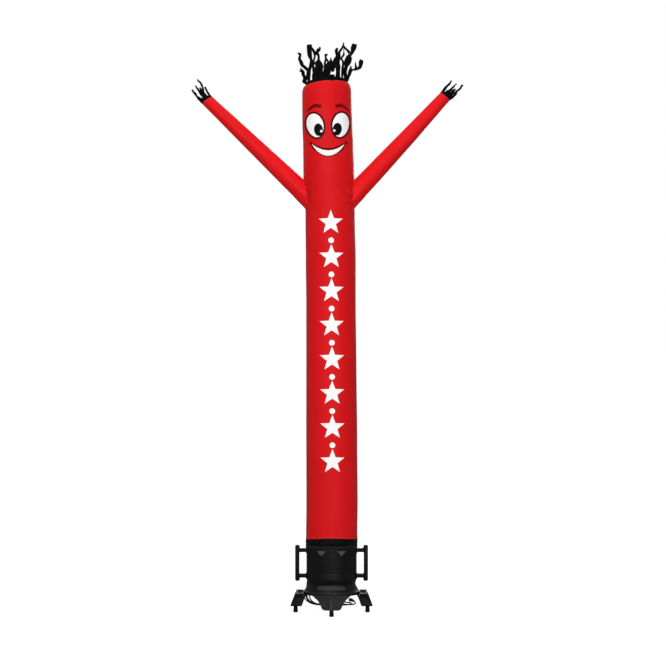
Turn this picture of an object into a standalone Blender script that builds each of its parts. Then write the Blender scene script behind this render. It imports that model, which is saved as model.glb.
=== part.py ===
"""Inflatable air dancer, standing on the blower that fills it.

A tall cloth tube with two tapered sleeves for arms, a cut fringe of hair around its open top and one at
each hand. A black cuff takes the tube over the drum of a floor-standing blower, which has two side
handles, four legs on posts, an inlet guard under it and a power cord that lies behind it.

Metres, +Z up. The origin is on the floor, under the middle of the whole shape without its cord. The
front, where the face goes, looks along -Y, and left and right are those of somebody who faces it.
"""

import math
from collections import namedtuple

import bmesh
import bpy
from mathutils import Matrix, Vector

GAP = 0.0003  # between pieces that touch
CLOTH = 0.0015  # thickness of every cloth sheet
AXIS_X = 0.027  # the blower's axis: the arms reach a little further to its left than to its right

# Blower
DRUM_RADIUS = 0.1490
DRUM_TOP = 0.4280
DRUM_WALL = 0.0040
WAIST_TOP = 0.2025  # where the drum's straight wall ends
WAIST_RADIUS = 0.1412
WAIST_HEIGHT = 0.1740
FLARE_RADIUS = 0.1580
RING_TOP = 0.1340
RING_BOTTOM = 0.1100
RING_RADIUS = 0.1665
RING_BORE = 0.1380
LEG_TOP = 0.1230
LEG_BOTTOM = 0.0390
LEG_TOP_REACH = 0.2088  # from the axis to the outer face of the leg's plate, at its top
LEG_BOTTOM_REACH = 0.2405  # and at its bottom
LEG_INNER_REACH = 0.1764
LEG_PLATE = 0.0100
LEG_BOX_WIDTH = 0.1000
LEG_BOX_RISE = 0.0010  # its underside is this much above the plate's lower edge
LEG_RIB_WIDTH = 0.0190
LEG_RIB_HEIGHT = 0.0040
FOOT_REACH = 0.2128
FOOT_RADIUS = 0.0135
FOOT_ROUNDING = 0.0030
HANDLE_OUTER = 0.2157
HANDLE_INNER = 0.1904
HANDLE_TOP = 0.3985
HANDLE_BOTTOM = 0.1864
HANDLE_ARMS = ((0.3563, 0.3790), (0.2053, 0.2287))  # lower and upper edge of each arm
HANDLE_DEPTH = 0.0300
LUG_ANGLES = tuple(math.radians(a) for a in (-112.5, -67.5, 67.5, 112.5))
LUG_WIDTH = 0.0520
LUG_TOP = 0.3735
LUG_DROP = 0.0345
LUG_STAND = 0.0090

Spread = namedtuple("Spread", "height half_width")
LEG_OUTLINE = (  # the bell shape of a leg's plate, seen from the front
    Spread(0.1230, 0.1160),
    Spread(0.1180, 0.1080),
    Spread(0.1070, 0.0960),
    Spread(0.0950, 0.0830),
    Spread(0.0830, 0.0720),
    Spread(0.0640, 0.0630),
    Spread(0.0490, 0.0570),
    Spread(0.0420, 0.0490),
    Spread(0.0390, 0.0400),
)

# Cloth
TUBE_BOTTOM = 0.4335  # at its sides
HEM_BOW = 0.0130  # the front and back of its hem are this much higher
CUFF_BOTTOM = 0.3830
CUFF_RADIUS = 0.1530
CUFF_FOOT_RADIUS = 0.1514
STRAP_BOTTOM = 0.3845
STRAP_WIDTH = 0.0190
STRAP_THICKNESS = 0.0016
HEAD_TOP = 3.1235
VENT_RADIUS = 0.1250
VENT_TILT = 0.0095  # the right end of the rim is this much above its middle
VENT_BOW = 0.0100  # and the front and back
SHOULDER_STEPS = 5

Section = namedtuple("Section", "height radius shift")  # shift is the middle's place from the axis
TUBE_SECTIONS = (
    Section(0.4300, 0.1522, 0.0010),
    Section(0.6500, 0.1523, 0.0028),
    Section(1.0000, 0.1510, 0.0012),
    Section(1.4500, 0.1490, -0.0012),
    Section(1.8000, 0.1464, -0.0037),
    Section(2.1000, 0.1478, -0.0052),
    Section(2.3500, 0.1464, -0.0086),
    Section(2.6200, 0.1503, -0.0166),
    Section(2.7600, 0.1486, -0.0196),
    Section(2.9000, 0.1480, -0.0252),
    Section(3.0200, 0.1462, -0.0276),
    Section(3.0750, 0.1455, -0.0284),
)
SHOULDER = TUBE_SECTIONS[-1]  # where the head begins to round in
HEAD_SHIFT = -0.0290  # the middle of the rim

Arm = namedtuple("Arm", "name root tip slant")
ARMS = (
    Arm("left", Vector((-0.1362, 0, 2.4820)), Vector((-0.7105, 0, 3.0350)), 0.20),
    Arm("right", Vector((0.1598, 0, 2.4790)), Vector((0.6980, 0, 3.0560)), 0.06),
)
ARM_ROOT_RADIUS = 0.0590
ARM_TIP_RADIUS = 0.0360
ARM_INSIDE = 0.0900  # how far a sleeve is drawn into the tube before it is trimmed to it

Strip = namedtuple("Strip", "rise reach sway width")
HAIR_BAND = 0.0200
HAIR = (  # from the right-hand side, the long way round by the back, to the front
    Strip(0.126, 0.095, 0.006, 0.022),
    Strip(0.118, 0.032, -0.010, 0.018),
    Strip(0.134, 0.024, 0.012, 0.020),
    Strip(0.142, 0.020, -0.006, 0.018),
    Strip(0.136, 0.022, 0.004, 0.020),
    Strip(0.124, 0.030, -0.010, 0.018),
    Strip(0.112, 0.024, 0.012, 0.021),
    Strip(0.104, 0.034, -0.010, 0.018),
    Strip(0.126, 0.022, 0.012, 0.021),
    Strip(0.114, 0.032, -0.008, 0.019),
    Strip(0.142, 0.022, 0.010, 0.021),
    Strip(0.116, 0.030, -0.008, 0.019),
    Strip(0.128, 0.032, 0.010, 0.018),
    Strip(0.094, 0.037, 0.006, 0.018),
    Strip(0.196, 0.044, -0.006, 0.020),
    Strip(0.118, 0.016, 0.010, 0.017),
    Strip(0.122, 0.012, 0.010, 0.018),
    Strip(0.234, 0.020, 0.024, 0.024),
    Strip(0.181, 0.020, 0.031, 0.019),
    Strip(0.194, 0.020, 0.010, 0.023),
    Strip(0.123, 0.015, -0.011, 0.020),
    Strip(0.158, 0.022, -0.002, 0.018),
    Strip(0.133, 0.020, -0.008, 0.018),
    Strip(0.192, 0.020, 0.001, 0.023),
    Strip(0.223, 0.020, 0.011, 0.021),
    Strip(0.161, 0.030, 0.019, 0.018),
    Strip(0.217, 0.056, 0.020, 0.024),
    Strip(0.116, 0.048, 0.004, 0.018),
)
HAND_BAND = 0.0160
HANDS = {  # from the upper side of the hand, first towards the back
    "left": (
        Strip(0.118, 0.014, 0.004, 0.012),
        Strip(0.070, 0.010, -0.004, 0.010),
        Strip(0.095, 0.008, 0.006, 0.011),
        Strip(0.060, 0.012, 0.004, 0.010),
        Strip(0.102, 0.000, -0.006, 0.012),
        Strip(0.066, 0.006, 0.005, 0.010),
        Strip(0.100, 0.004, 0.006, 0.011),
        Strip(0.056, 0.013, -0.004, 0.010),
    ),
    "right": (
        Strip(0.095, 0.004, 0.004, 0.012),
        Strip(0.062, 0.008, 0.005, 0.010),
        Strip(0.097, 0.004, -0.006, 0.011),
        Strip(0.058, 0.010, 0.004, 0.010),
        Strip(0.119, 0.002, 0.004, 0.012),
        Strip(0.064, 0.010, -0.005, 0.010),
        Strip(0.080, 0.006, 0.006, 0.011),
        Strip(0.050, 0.012, 0.004, 0.010),
    ),
}

# Power cord
CORD_DIAMETER = 0.0085
CORD_STRAIGHT = 0.0210  # how far it runs straight out of its strain relief
GLAND_ANGLE = math.radians(128)
GLAND_HEIGHT = 0.2050
GLAND_LENGTH = 0.0280
GLAND_BASE_RADIUS = 0.0110
COIL_CENTRE = Vector((-0.0500, 0.3920, 0))
COIL_RADIUS = 0.0955  # to the middle of the outer turn
COIL_WIDTH = 0.0361
LEAD_ROUTE = (  # from the strain relief to the coil
    (-0.1100, 0.1740, 0.1880),
    (-0.1165, 0.1860, 0.1620),
    (-0.1210, 0.1975, 0.1350),
    (-0.1250, 0.2095, 0.1080),
    (-0.1285, 0.2230, 0.0830),
    (-0.1295, 0.2385, 0.0600),
    (-0.1245, 0.2550, 0.0400),
    (-0.1140, 0.2705, 0.0235),
    (-0.1010, 0.2825, 0.0125),
    (-0.0826, 0.2946, 0.0060),
)
TAIL_ROUTE = (  # from the coil to the plug
    (0.0201, 0.3160, 0.0054),
    (0.0500, 0.3170, 0.0046),
    (0.0850, 0.3195, 0.0045),
    (0.1200, 0.3260, 0.0045),
    (0.1480, 0.3420, 0.0045),
    (0.1660, 0.3690, 0.0045),
    (0.1722, 0.4020, 0.0046),
    (0.1700, 0.4380, 0.0054),
    (0.1640, 0.4700, 0.0076),
    (0.1560, 0.4960, 0.0100),
)
PLUG_LENGTH = 0.0380
PLUG_WIDTH = 0.0260
PLUG_HEIGHT = 0.0200
PRONG_LENGTH = 0.0170


def material(name, colour, roughness, metallic=0.0):
    """A plain material of this colour, as red, green and blue between 0 and 1."""
    made = bpy.data.materials.new(name)
    made.use_nodes = True
    shader = made.node_tree.nodes["Principled BSDF"]
    shader.inputs["Base Color"].default_value = (*colour, 1)
    shader.inputs["Roughness"].default_value = roughness
    shader.inputs["Metallic"].default_value = metallic
    return made


def add(name, bm, finish, sharp=35):
    """Puts a bmesh into the scene as one object, smooth but for edges sharper than this many degrees."""
    mesh = bpy.data.meshes.new(name)
    bm.to_mesh(mesh)
    bm.free()
    mesh.shade_smooth()
    mesh.set_sharp_from_angle(angle=math.radians(sharp))
    made = bpy.data.objects.new(name, mesh)
    made.data.materials.append(finish)
    bpy.context.scene.collection.objects.link(made)
    return made


def hide(helper):
    """Makes an object a helper, which only cuts others."""
    helper.hide_render = True
    helper.display_type = "WIRE"
    return helper


def cut(body, *cutters):
    """Takes each cutter's shape out of the body."""
    for cutter in cutters:
        boolean = body.modifiers.new(f"Cut {cutter.name}", "BOOLEAN")
        boolean.operation = "DIFFERENCE"
        boolean.object = cutter


def thicken(sheet, thickness):
    """Gives a sheet its thickness on the side that its faces turn away from."""
    solidify = sheet.modifiers.new("Thickness", "SOLIDIFY")
    solidify.thickness = thickness
    solidify.offset = -1
    solidify.use_even_offset = True


def gridded(columns, rows, place, keep=None):
    """A grid of this many faces, each corner moved to place(column, row). keep says which faces stay."""
    bm = bmesh.new()
    bmesh.ops.create_grid(bm, x_segments=columns, y_segments=rows, size=1)
    at = {}
    for vert in bm.verts:
        at[vert] = (round((vert.co.x + 1) / 2 * columns), round((vert.co.y + 1) / 2 * rows))
    if keep:
        lost = [f for f in bm.faces if not keep(*map(min, zip(*(at[v] for v in f.verts))))]
        bmesh.ops.delete(bm, geom=lost, context="FACES")
    for vert in bm.verts:
        vert.co = place(*at[vert])
    bmesh.ops.remove_doubles(bm, verts=bm.verts, dist=1e-6)
    return bm


def turned(profile, steps=48):
    """A closed outline of (radius, height) points, turned about the blower's axis."""
    bm = bmesh.new()
    verts = [bm.verts.new((AXIS_X + radius, 0, height)) for radius, height in profile]
    edges = [bm.edges.new(pair) for pair in zip(verts, verts[1:] + verts[:1])]
    bmesh.ops.spin(
        bm,
        geom=verts + edges,
        cent=(AXIS_X, 0, 0),
        axis=(0, 0, 1),
        angle=2 * math.pi,
        steps=steps,
        use_merge=True,
    )
    bmesh.ops.remove_doubles(bm, verts=bm.verts, dist=1e-6)
    bmesh.ops.recalc_face_normals(bm, faces=bm.faces)
    return bm


def extruded(outline, depth):
    """A flat outline of (x, z) points, as thick as depth along Y and centred there."""
    bm = bmesh.new()
    face = bm.faces.new([bm.verts.new((x, -depth / 2, z)) for x, z in outline])
    moved = bmesh.ops.extrude_face_region(bm, geom=[face])["geom"]
    top = [v for v in moved if isinstance(v, bmesh.types.BMVert)]
    bmesh.ops.translate(bm, verts=top, vec=(0, depth, 0))
    bmesh.ops.recalc_face_normals(bm, faces=bm.faces)
    return bm


def bevelled(obj, width, segments=2, angle=40):
    """Rounds the object's sharp edges."""
    bevel = obj.modifiers.new("Rounding", "BEVEL")
    bevel.width = width
    bevel.segments = segments
    bevel.limit_method = "ANGLE"
    bevel.angle_limit = math.radians(angle)
    return obj


def about_axis(angle):
    """The matrix that carries a shape built along +X of the blower's axis round to this angle."""
    return Matrix.Translation((AXIS_X, 0, 0)) @ Matrix.Rotation(angle, 4, "Z")


def at_height(height):
    """The tube's radius and its middle's x at this height, on a smooth step between two sections."""
    low, high = TUBE_SECTIONS[0], TUBE_SECTIONS[1]
    for low, high in zip(TUBE_SECTIONS, TUBE_SECTIONS[1:]):
        if height <= high.height:
            break
    share = min(1.0, max(0.0, (height - low.height) / (high.height - low.height)))
    share = share**2 * (3 - 2 * share)
    radius = low.radius + (high.radius - low.radius) * share
    return radius, AXIS_X + low.shift + (high.shift - low.shift) * share


def rim_height(angle):
    """The height of the open top's edge in this direction."""
    return HEAD_TOP + VENT_TILT * math.cos(angle) + VENT_BOW * math.sin(angle) ** 2


def hem_height(angle):
    """The height of the seam between the tube and its cuff in this direction."""
    return TUBE_BOTTOM + HEM_BOW * math.sin(angle) ** 2


def on_tube(angle, height, out=0.0):
    """The point of the tube's outer face in this direction, or this far outside it."""
    radius, middle = at_height(height)
    radius += out
    return Vector((middle + radius * math.cos(angle), radius * math.sin(angle), height))


def on_shoulder(angle, share):
    """The point of the head's rounding: share runs from 0, on the tube, to 1, on the rim of the top."""
    turn = share * math.pi / 2
    radius = SHOULDER.radius + (VENT_RADIUS - SHOULDER.radius) * (1 - math.cos(turn))
    height = SHOULDER.height + (rim_height(angle) - SHOULDER.height) * math.sin(turn)
    middle = AXIS_X + SHOULDER.shift + (HEAD_SHIFT - SHOULDER.shift) * share
    return Vector((middle + radius * math.cos(angle), radius * math.sin(angle), height))


def tube_heights():
    """The heights of the tube's rings above its hem, closer together where the arms join."""
    lower = [0.49, 0.65, 0.80, 1.00, 1.25, 1.45, 1.65, 1.80, 1.95, 2.10, 2.23, 2.35]
    return lower + [2.44, 2.53, 2.62, 2.76, 2.90, 3.02, SHOULDER.height]


def body_tube(finish, holes):
    """The tube and its head, one sheet, open at the bottom, at the top and where the sleeves join."""
    columns, heights = 40, tube_heights()
    straight = len(heights)

    def place(column, row):
        angle = column * 2 * math.pi / columns
        if row == 0:
            return on_tube(angle, hem_height(angle) + GAP)
        if row <= straight:
            return on_tube(angle, heights[row - 1])
        return on_shoulder(angle, (row - straight) / SHOULDER_STEPS)

    tube = add("body_tube", gridded(columns, straight + SHOULDER_STEPS, place), finish)
    thicken(tube, CLOTH)
    cut(tube, *holes)


def tube_core():
    """What a sleeve is trimmed to: the outside of the tube, a gap larger, where the arms join."""
    columns, heights = 40, (2.10, 2.23, 2.35, 2.44, 2.53, 2.62, 2.76, 2.90)

    def place(column, row):
        return on_tube(column * 2 * math.pi / columns, heights[row], GAP)

    bm = gridded(columns, len(heights) - 1, place)
    bmesh.ops.holes_fill(bm, edges=bm.edges, sides=columns)
    bmesh.ops.recalc_face_normals(bm, faces=bm.faces)
    return hide(add("tube_core", bm, material("core", (1, 1, 1), 1)))


def arm_frame(arm):
    """The sleeve's direction, and the one across it that points up, in the XZ plane."""
    along = (arm.tip - arm.root).normalized()
    across = Vector((-along.z, 0, along.x)) if along.x > 0 else Vector((along.z, 0, -along.x))
    return along, across


def on_arm(arm, angle, share, inset=0.0):
    """The point of the sleeve's outer face: share runs from 0 at the tube to 1 at the hand."""
    along, across = arm_frame(arm)
    radius = ARM_ROOT_RADIUS + (ARM_TIP_RADIUS - ARM_ROOT_RADIUS) * share - inset
    centre = arm.root.lerp(arm.tip, share)
    around = math.cos(angle) * across + math.sin(angle) * Vector((0, 1, 0))
    slanted = -arm.slant * radius * math.cos(angle) * max(0.0, share)
    return centre + radius * around + slanted * along


def sleeve(arm, finish, core):
    """One arm, a tapered sleeve trimmed to the tube it is sewn to."""
    columns, rows = 24, 6
    start = -ARM_INSIDE / (arm.tip - arm.root).length

    def place(column, row):
        angle = column * 2 * math.pi / columns
        return on_arm(arm, angle, start + (1 - start) * row / rows)

    bm = gridded(columns, rows, place)
    bmesh.ops.recalc_face_normals(bm, faces=bm.faces)
    made = add(f"arm_{arm.name}", facing_out(bm, arm.root), finish)
    thicken(made, CLOTH)
    cut(made, core)


def facing_out(bm, middle):
    """Turns the faces of an open tube away from this point on its middle line."""
    face = min(bm.faces, key=lambda f: (f.calc_center_median() - middle).length)
    if face.normal.dot(face.calc_center_median() - middle) < 0:
        bmesh.ops.reverse_faces(bm, faces=bm.faces)
    return bm


def arm_hole(arm):
    """What opens the tube into a sleeve."""
    columns, ends = 24, (-0.08, 0.10)

    def place(column, row):
        return on_arm(arm, column * 2 * math.pi / columns, ends[row], CLOTH + 0.001)

    bm = gridded(columns, 1, place)
    bmesh.ops.holes_fill(bm, edges=bm.edges, sides=columns)
    bmesh.ops.recalc_face_normals(bm, faces=bm.faces)
    return hide(add(f"arm_hole_{arm.name}", bm, material("hole", (1, 1, 1), 1)))


def comb(name, strips, band, rows, ring, finish):
    """A fringe: a band cut into strips. ring(angle) gives a strip's foot, outward and along directions."""
    count = len(strips)
    pitch = 2 * math.pi / count

    def place(column, row):
        number = (column % (2 * count)) // 2
        strip, side = strips[number], column % 2
        foot, outward, along, radius = ring(number * pitch)
        half = strip.width / 2 / radius * (1 if side else -1)
        if row <= 1:
            foot, _, along, _ = ring(number * pitch + half)
            return foot + band * row * along
        share = (row - 1) / rows
        across = along.cross(outward)
        bend = share**1.6
        width = strip.width * (1 - 0.35 * share) * (0.5 if side else -0.5)
        return (
            foot
            + (band + (strip.rise - band) * share) * along
            + strip.reach * bend * outward
            + (strip.sway * bend + width) * across
        )

    def keep(column, row):
        return row == 0 or column % 2 == 0

    fringe = add(name, gridded(2 * count, 1 + rows, place, keep), finish, 60)
    thicken(fringe, CLOTH)


def hair_ring(angle):
    """The foot of the hair in this direction, a gap above the rim of the head."""
    outward = Vector((math.cos(angle), math.sin(angle), 0))
    top = rim_height(angle)
    foot = Vector((AXIS_X + HEAD_SHIFT, 0, top + GAP)) + VENT_RADIUS * outward
    return foot, outward, Vector((0, 0, 1)), VENT_RADIUS


def hand_ring(arm):
    """The same for a hand's fringe, a gap past the end of its sleeve."""
    along, across = arm_frame(arm)
    turn = 1 if arm.name == "left" else -1

    def ring(angle):
        outward = math.cos(angle) * across + turn * math.sin(angle) * Vector((0, 1, 0))
        foot = on_arm(arm, turn * angle, 1) + GAP * along
        return foot, outward, along, ARM_TIP_RADIUS

    return ring


def cuff(finish):
    """The black foot of the tube, drawn in where the strap holds it to the drum."""
    columns = 40
    radii = (CUFF_FOOT_RADIUS, CUFF_FOOT_RADIUS, CUFF_RADIUS, CUFF_RADIUS)

    def place(column, row):
        angle = column * 2 * math.pi / columns
        heights = (CUFF_BOTTOM, STRAP_BOTTOM + STRAP_WIDTH, 0.4120, hem_height(angle))
        radius, height = radii[row], heights[row]
        middle = AXIS_X + (at_height(height)[1] - AXIS_X if row == 3 else 0.0)
        return middle + radius * math.cos(angle), radius * math.sin(angle), height

    thicken(add("cuff", gridded(columns, len(radii) - 1, place), finish), CLOTH)


def cinch_strap(finish):
    """The webbing that holds the cuff to the drum."""
    inner = CUFF_FOOT_RADIUS + GAP
    outer, top = inner + STRAP_THICKNESS, STRAP_BOTTOM + STRAP_WIDTH - 0.001
    corners = ((inner, STRAP_BOTTOM), (outer, STRAP_BOTTOM), (outer, top), (inner, top))
    add("cinch_strap", turned(corners, 40), finish)


def drum(finish):
    """The blower's housing, a moulded duct: straight above, then a waist and a flare to its base."""
    outer = (
        (DRUM_RADIUS, DRUM_TOP - 0.002),
        (DRUM_RADIUS, WAIST_TOP),
        (DRUM_RADIUS - 0.003, WAIST_TOP - 0.012),
        (WAIST_RADIUS, WAIST_HEIGHT),
        (WAIST_RADIUS + 0.003, WAIST_HEIGHT - 0.012),
        (FLARE_RADIUS - 0.004, RING_TOP + 0.010),
        (FLARE_RADIUS, RING_TOP + GAP),
    )
    inner = [
        (RING_BORE + 0.001, RING_TOP + GAP),
        (WAIST_RADIUS - DRUM_WALL, WAIST_HEIGHT - 0.012),
        (WAIST_RADIUS - DRUM_WALL, WAIST_HEIGHT),
        (DRUM_RADIUS - DRUM_WALL, WAIST_TOP),
        (DRUM_RADIUS - DRUM_WALL, DRUM_TOP),
        (DRUM_RADIUS - 0.002, DRUM_TOP),
    ]
    add("drum", turned([*outer, *inner]), finish)


def base_ring(finish):
    """The ring under the drum that carries the legs and the guard."""
    edge = 0.003
    profile = (
        (RING_RADIUS - edge, RING_TOP),
        (RING_RADIUS, RING_TOP - edge),
        (RING_RADIUS, RING_BOTTOM),
        (RING_BORE - 0.006, RING_BOTTOM),
        (RING_BORE - 0.006, RING_BOTTOM + 0.004),
        (RING_BORE, RING_BOTTOM + 0.004),
        (RING_BORE, RING_TOP),
    )
    add("base_ring", turned(profile), finish)


def inlet_guard(finish):
    """The grille over the inlet, on the ledge inside the base ring: a hub, rings and spokes."""
    spokes, spoke_half = 8, 0.0022
    radii = (0.0260, 0.0560, 0.0600, 0.0920, 0.0960, 0.1290, RING_BORE - GAP)
    bottom, top = RING_BOTTOM + 0.004 + GAP, RING_BOTTOM + 0.008

    def place(column, row):
        number, side = divmod(column, 2)
        radius = radii[row]
        turn = number * 2 * math.pi / spokes
        turn += math.asin(spoke_half / radius) * (1 if side else -1)
        return AXIS_X + radius * math.cos(turn), radius * math.sin(turn), bottom

    def keep(column, row):
        return column % 2 == 0 or row % 2 == 1

    bm = gridded(2 * spokes, len(radii) - 1, place, keep)
    hub = sorted(
        (v for v in bm.verts if (v.co - Vector((AXIS_X, 0, bottom))).length < 0.027),
        key=lambda v: math.atan2(v.co.y, v.co.x - AXIS_X),
    )
    bm.faces.new(hub)
    bmesh.ops.recalc_face_normals(bm, faces=bm.faces)
    moved = bmesh.ops.extrude_face_region(bm, geom=bm.faces[:])["geom"]
    raised = [v for v in moved if isinstance(v, bmesh.types.BMVert)]
    bmesh.ops.translate(bm, verts=raised, vec=(0, 0, top - bottom))
    bmesh.ops.recalc_face_normals(bm, faces=bm.faces)
    add("inlet_guard", bm, finish)


def handle(name, angle, finish):
    """A side handle: a bar with rounded ends on two arms, which end at the drum."""
    root, bevel = DRUM_RADIUS + GAP, 0.006
    (low_a, low_b), (high_a, high_b) = HANDLE_ARMS[1], HANDLE_ARMS[0]
    outline = (
        (root, low_a),
        (HANDLE_INNER - bevel, low_a),
        (HANDLE_INNER, low_a - bevel),
        (HANDLE_INNER + 0.003, HANDLE_BOTTOM + 0.003),
        (HANDLE_INNER + bevel, HANDLE_BOTTOM),
        (HANDLE_OUTER - bevel, HANDLE_BOTTOM),
        (HANDLE_OUTER, HANDLE_BOTTOM + bevel),
        (HANDLE_OUTER, HANDLE_TOP - bevel),
        (HANDLE_OUTER - bevel, HANDLE_TOP),
        (HANDLE_INNER + bevel, HANDLE_TOP),
        (HANDLE_INNER + 0.003, HANDLE_TOP - 0.003),
        (HANDLE_INNER, high_b + bevel),
        (HANDLE_INNER - bevel, high_b),
        (root, high_b),
        (root, high_a),
        (HANDLE_INNER - bevel, high_a),
        (HANDLE_INNER, high_a - bevel),
        (HANDLE_INNER, low_b + bevel),
        (HANDLE_INNER - bevel, low_b),
        (root, low_b),
    )
    made = add(name, extruded(outline, HANDLE_DEPTH), finish)
    made.matrix_world = about_axis(angle)
    bevelled(made, 0.004, 2, 60)


def lug(number, angle, finish, drum_core):
    """A moulded lug under the strap, flat in front and pointed below."""
    inner, outer = DRUM_RADIUS - 0.004, DRUM_RADIUS + LUG_STAND
    half, low = LUG_WIDTH / 2, LUG_TOP - LUG_DROP
    front, tip = half * 0.86, 0.004
    bm = bmesh.new()
    corners = [
        (inner, -half, LUG_TOP),
        (inner, half, LUG_TOP),
        (inner, tip, low),
        (inner, -tip, low),
        (outer, -front, LUG_TOP - 0.002),
        (outer, front, LUG_TOP - 0.002),
        (outer - 0.002, tip * 0.8, low + 0.006),
        (outer - 0.002, -tip * 0.8, low + 0.006),
    ]
    for corner in corners:
        bm.verts.new(corner)
    bmesh.ops.convex_hull(bm, input=bm.verts)
    bmesh.ops.recalc_face_normals(bm, faces=bm.faces)
    bmesh.ops.transform(bm, matrix=about_axis(angle), verts=bm.verts)
    cut(add(f"lug_{number}", bm, finish), drum_core)


def drum_core():
    """What the lugs are trimmed to: the drum's outside, a gap larger."""
    radius, low, high = DRUM_RADIUS + GAP, WAIST_TOP, DRUM_TOP
    bm = bmesh.new()
    bmesh.ops.create_cone(
        bm, cap_ends=True, segments=96, radius1=radius, radius2=radius, depth=high - low
    )
    bmesh.ops.translate(bm, verts=bm.verts, vec=(AXIS_X, 0, (high + low) / 2))
    return hide(add("drum_core", bm, material("drum core", (1, 1, 1), 1)))


def plate_reach(height):
    """How far from the axis the outer face of a leg's plate is at this height: it slants."""
    share = (LEG_TOP - height) / (LEG_TOP - LEG_BOTTOM)
    return LEG_TOP_REACH + (LEG_BOTTOM_REACH - LEG_TOP_REACH) * share


def leg_plate():
    """The bell-shaped plate that a leg shows to the outside, built along +X."""
    sides = [(row.half_width, row.height) for row in LEG_OUTLINE]
    outline = sides + [(-half, height) for half, height in reversed(sides)]
    bm = extruded(outline, LEG_PLATE)
    for vert in bm.verts:
        inside = LEG_PLATE / 2 + vert.co.y
        vert.co = (plate_reach(vert.co.z) - inside, vert.co.x, vert.co.z)
    bmesh.ops.recalc_face_normals(bm, faces=bm.faces)
    return bm


def leg_box():
    """The box behind the plate, which seats under and against the ring."""
    seat, under, within = RING_RADIUS + GAP, RING_BOTTOM - GAP, LEG_PLATE / 2
    top, bottom = LEG_TOP - 0.0005, LEG_BOTTOM + LEG_BOX_RISE
    outline = (
        (seat, top),
        (plate_reach(top) - within, top),
        (plate_reach(bottom) - within, bottom),
        (LEG_INNER_REACH, bottom),
        (0.1575, 0.0930),
        (0.1480, under),
        (seat, under),
    )
    return extruded(outline, LEG_BOX_WIDTH)


def leg_rib():
    """The rib down the middle of the plate."""
    low, high = LEG_BOTTOM + 0.0015, LEG_TOP - 0.0025
    outline = (
        (plate_reach(high) - LEG_PLATE / 2, high),
        (plate_reach(high), high),
        (plate_reach(high - 0.004) + LEG_RIB_HEIGHT, high - 0.004),
        (plate_reach(low) + LEG_RIB_HEIGHT, low),
        (plate_reach(low) - LEG_PLATE / 2, low),
    )
    return extruded(outline, LEG_RIB_WIDTH)


def leg(name, angle, finish):
    """One leg, a single moulding: its plate, the box behind it and the rib down the middle."""
    made = add(f"leg_{name}", leg_plate(), finish)
    made.matrix_world = about_axis(angle)
    for kind, bm in (("box", leg_box()), ("rib", leg_rib())):
        part = hide(add(f"leg_{name}_{kind}", bm, finish))
        part.matrix_world = about_axis(angle)
        union = made.modifiers.new(f"Join {kind}", "BOOLEAN")
        union.operation = "UNION"
        union.object = part


def foot(name, angle, finish):
    """The post under a leg, flat where it stands."""
    top = LEG_BOTTOM + LEG_BOX_RISE - GAP
    bm = bmesh.new()
    bmesh.ops.create_cone(
        bm,
        cap_ends=True,
        segments=24,
        radius1=FOOT_RADIUS,
        radius2=FOOT_RADIUS,
        depth=top,
        matrix=Matrix.Translation((FOOT_REACH, 0, top / 2)),
    )
    sole = [e for e in bm.edges if all(v.co.z < 1e-6 for v in e.verts)]
    bmesh.ops.bevel(
        bm, geom=sole, offset=FOOT_ROUNDING, segments=2, profile=0.5, affect="EDGES", material=-1
    )
    bmesh.ops.transform(bm, matrix=about_axis(angle), verts=bm.verts)
    add(f"foot_{name}", bm, finish)


def gland_frame():
    """The gland's foot on the drum, and the level direction in which it points."""
    outward = Vector((math.cos(GLAND_ANGLE), math.sin(GLAND_ANGLE), 0))
    foot_at = Vector((AXIS_X, 0, GLAND_HEIGHT)) + (DRUM_RADIUS + GAP) * outward
    return foot_at, outward


def cord_exit():
    """Where the cord leaves its strain relief."""
    foot_at, outward = gland_frame()
    return foot_at + (GLAND_LENGTH + GAP) * outward


def gland(finish):
    """The strain relief where the cord leaves the drum, tapered."""
    foot_at, outward = gland_frame()
    bm = bmesh.new()
    bmesh.ops.create_cone(
        bm,
        cap_ends=True,
        segments=20,
        radius1=GLAND_BASE_RADIUS,
        radius2=CORD_DIAMETER / 2 + 0.001,
        depth=GLAND_LENGTH,
    )
    turn = outward.to_track_quat("Z", "Y").to_matrix().to_4x4()
    middle = foot_at + outward * GLAND_LENGTH / 2
    bmesh.ops.transform(bm, matrix=Matrix.Translation(middle) @ turn, verts=bm.verts)
    add("gland", bm, finish)


def smooth_route(points, spacing):
    """Points a spacing apart along one smooth curve through the route's own points."""
    ends = [2 * points[0] - points[1], *points, 2 * points[-1] - points[-2]]
    fine = []
    for a, b, c, d in zip(ends, ends[1:], ends[2:], ends[3:]):
        for step in range(12):
            t = step / 12
            fine.append(
                0.5
                * (
                    2 * b
                    + (c - a) * t
                    + (2 * a - 5 * b + 4 * c - d) * t**2
                    + (3 * b - a - 3 * c + d) * t**3
                )
            )
    fine.append(points[-1])
    route, travelled = [fine[0]], 0.0
    for a, b in zip(fine, fine[1:]):
        travelled += (b - a).length
        if travelled >= spacing:
            route.append(b)
            travelled = 0.0
    if (route[-1] - fine[-1]).length < spacing / 2:
        route.pop()
    return [*route, fine[-1]]


def cord(name, points, finish):
    """A stretch of cord that lies free, as a tube along one smooth curve."""
    curve = bpy.data.curves.new(name, "CURVE")
    curve.dimensions = "3D"
    curve.bevel_depth = CORD_DIAMETER / 2
    curve.bevel_resolution = 2
    curve.use_fill_caps = True
    route = smooth_route([Vector(p) for p in points], 2.4 * CORD_DIAMETER)
    spline = curve.splines.new("POLY")
    spline.points.add(len(route) - 1)
    for point, at in zip(spline.points, route):
        point.co = (*at, 1)
    curve.materials.append(finish)
    made = bpy.data.objects.new(name, curve)
    bpy.context.scene.collection.objects.link(made)


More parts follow.
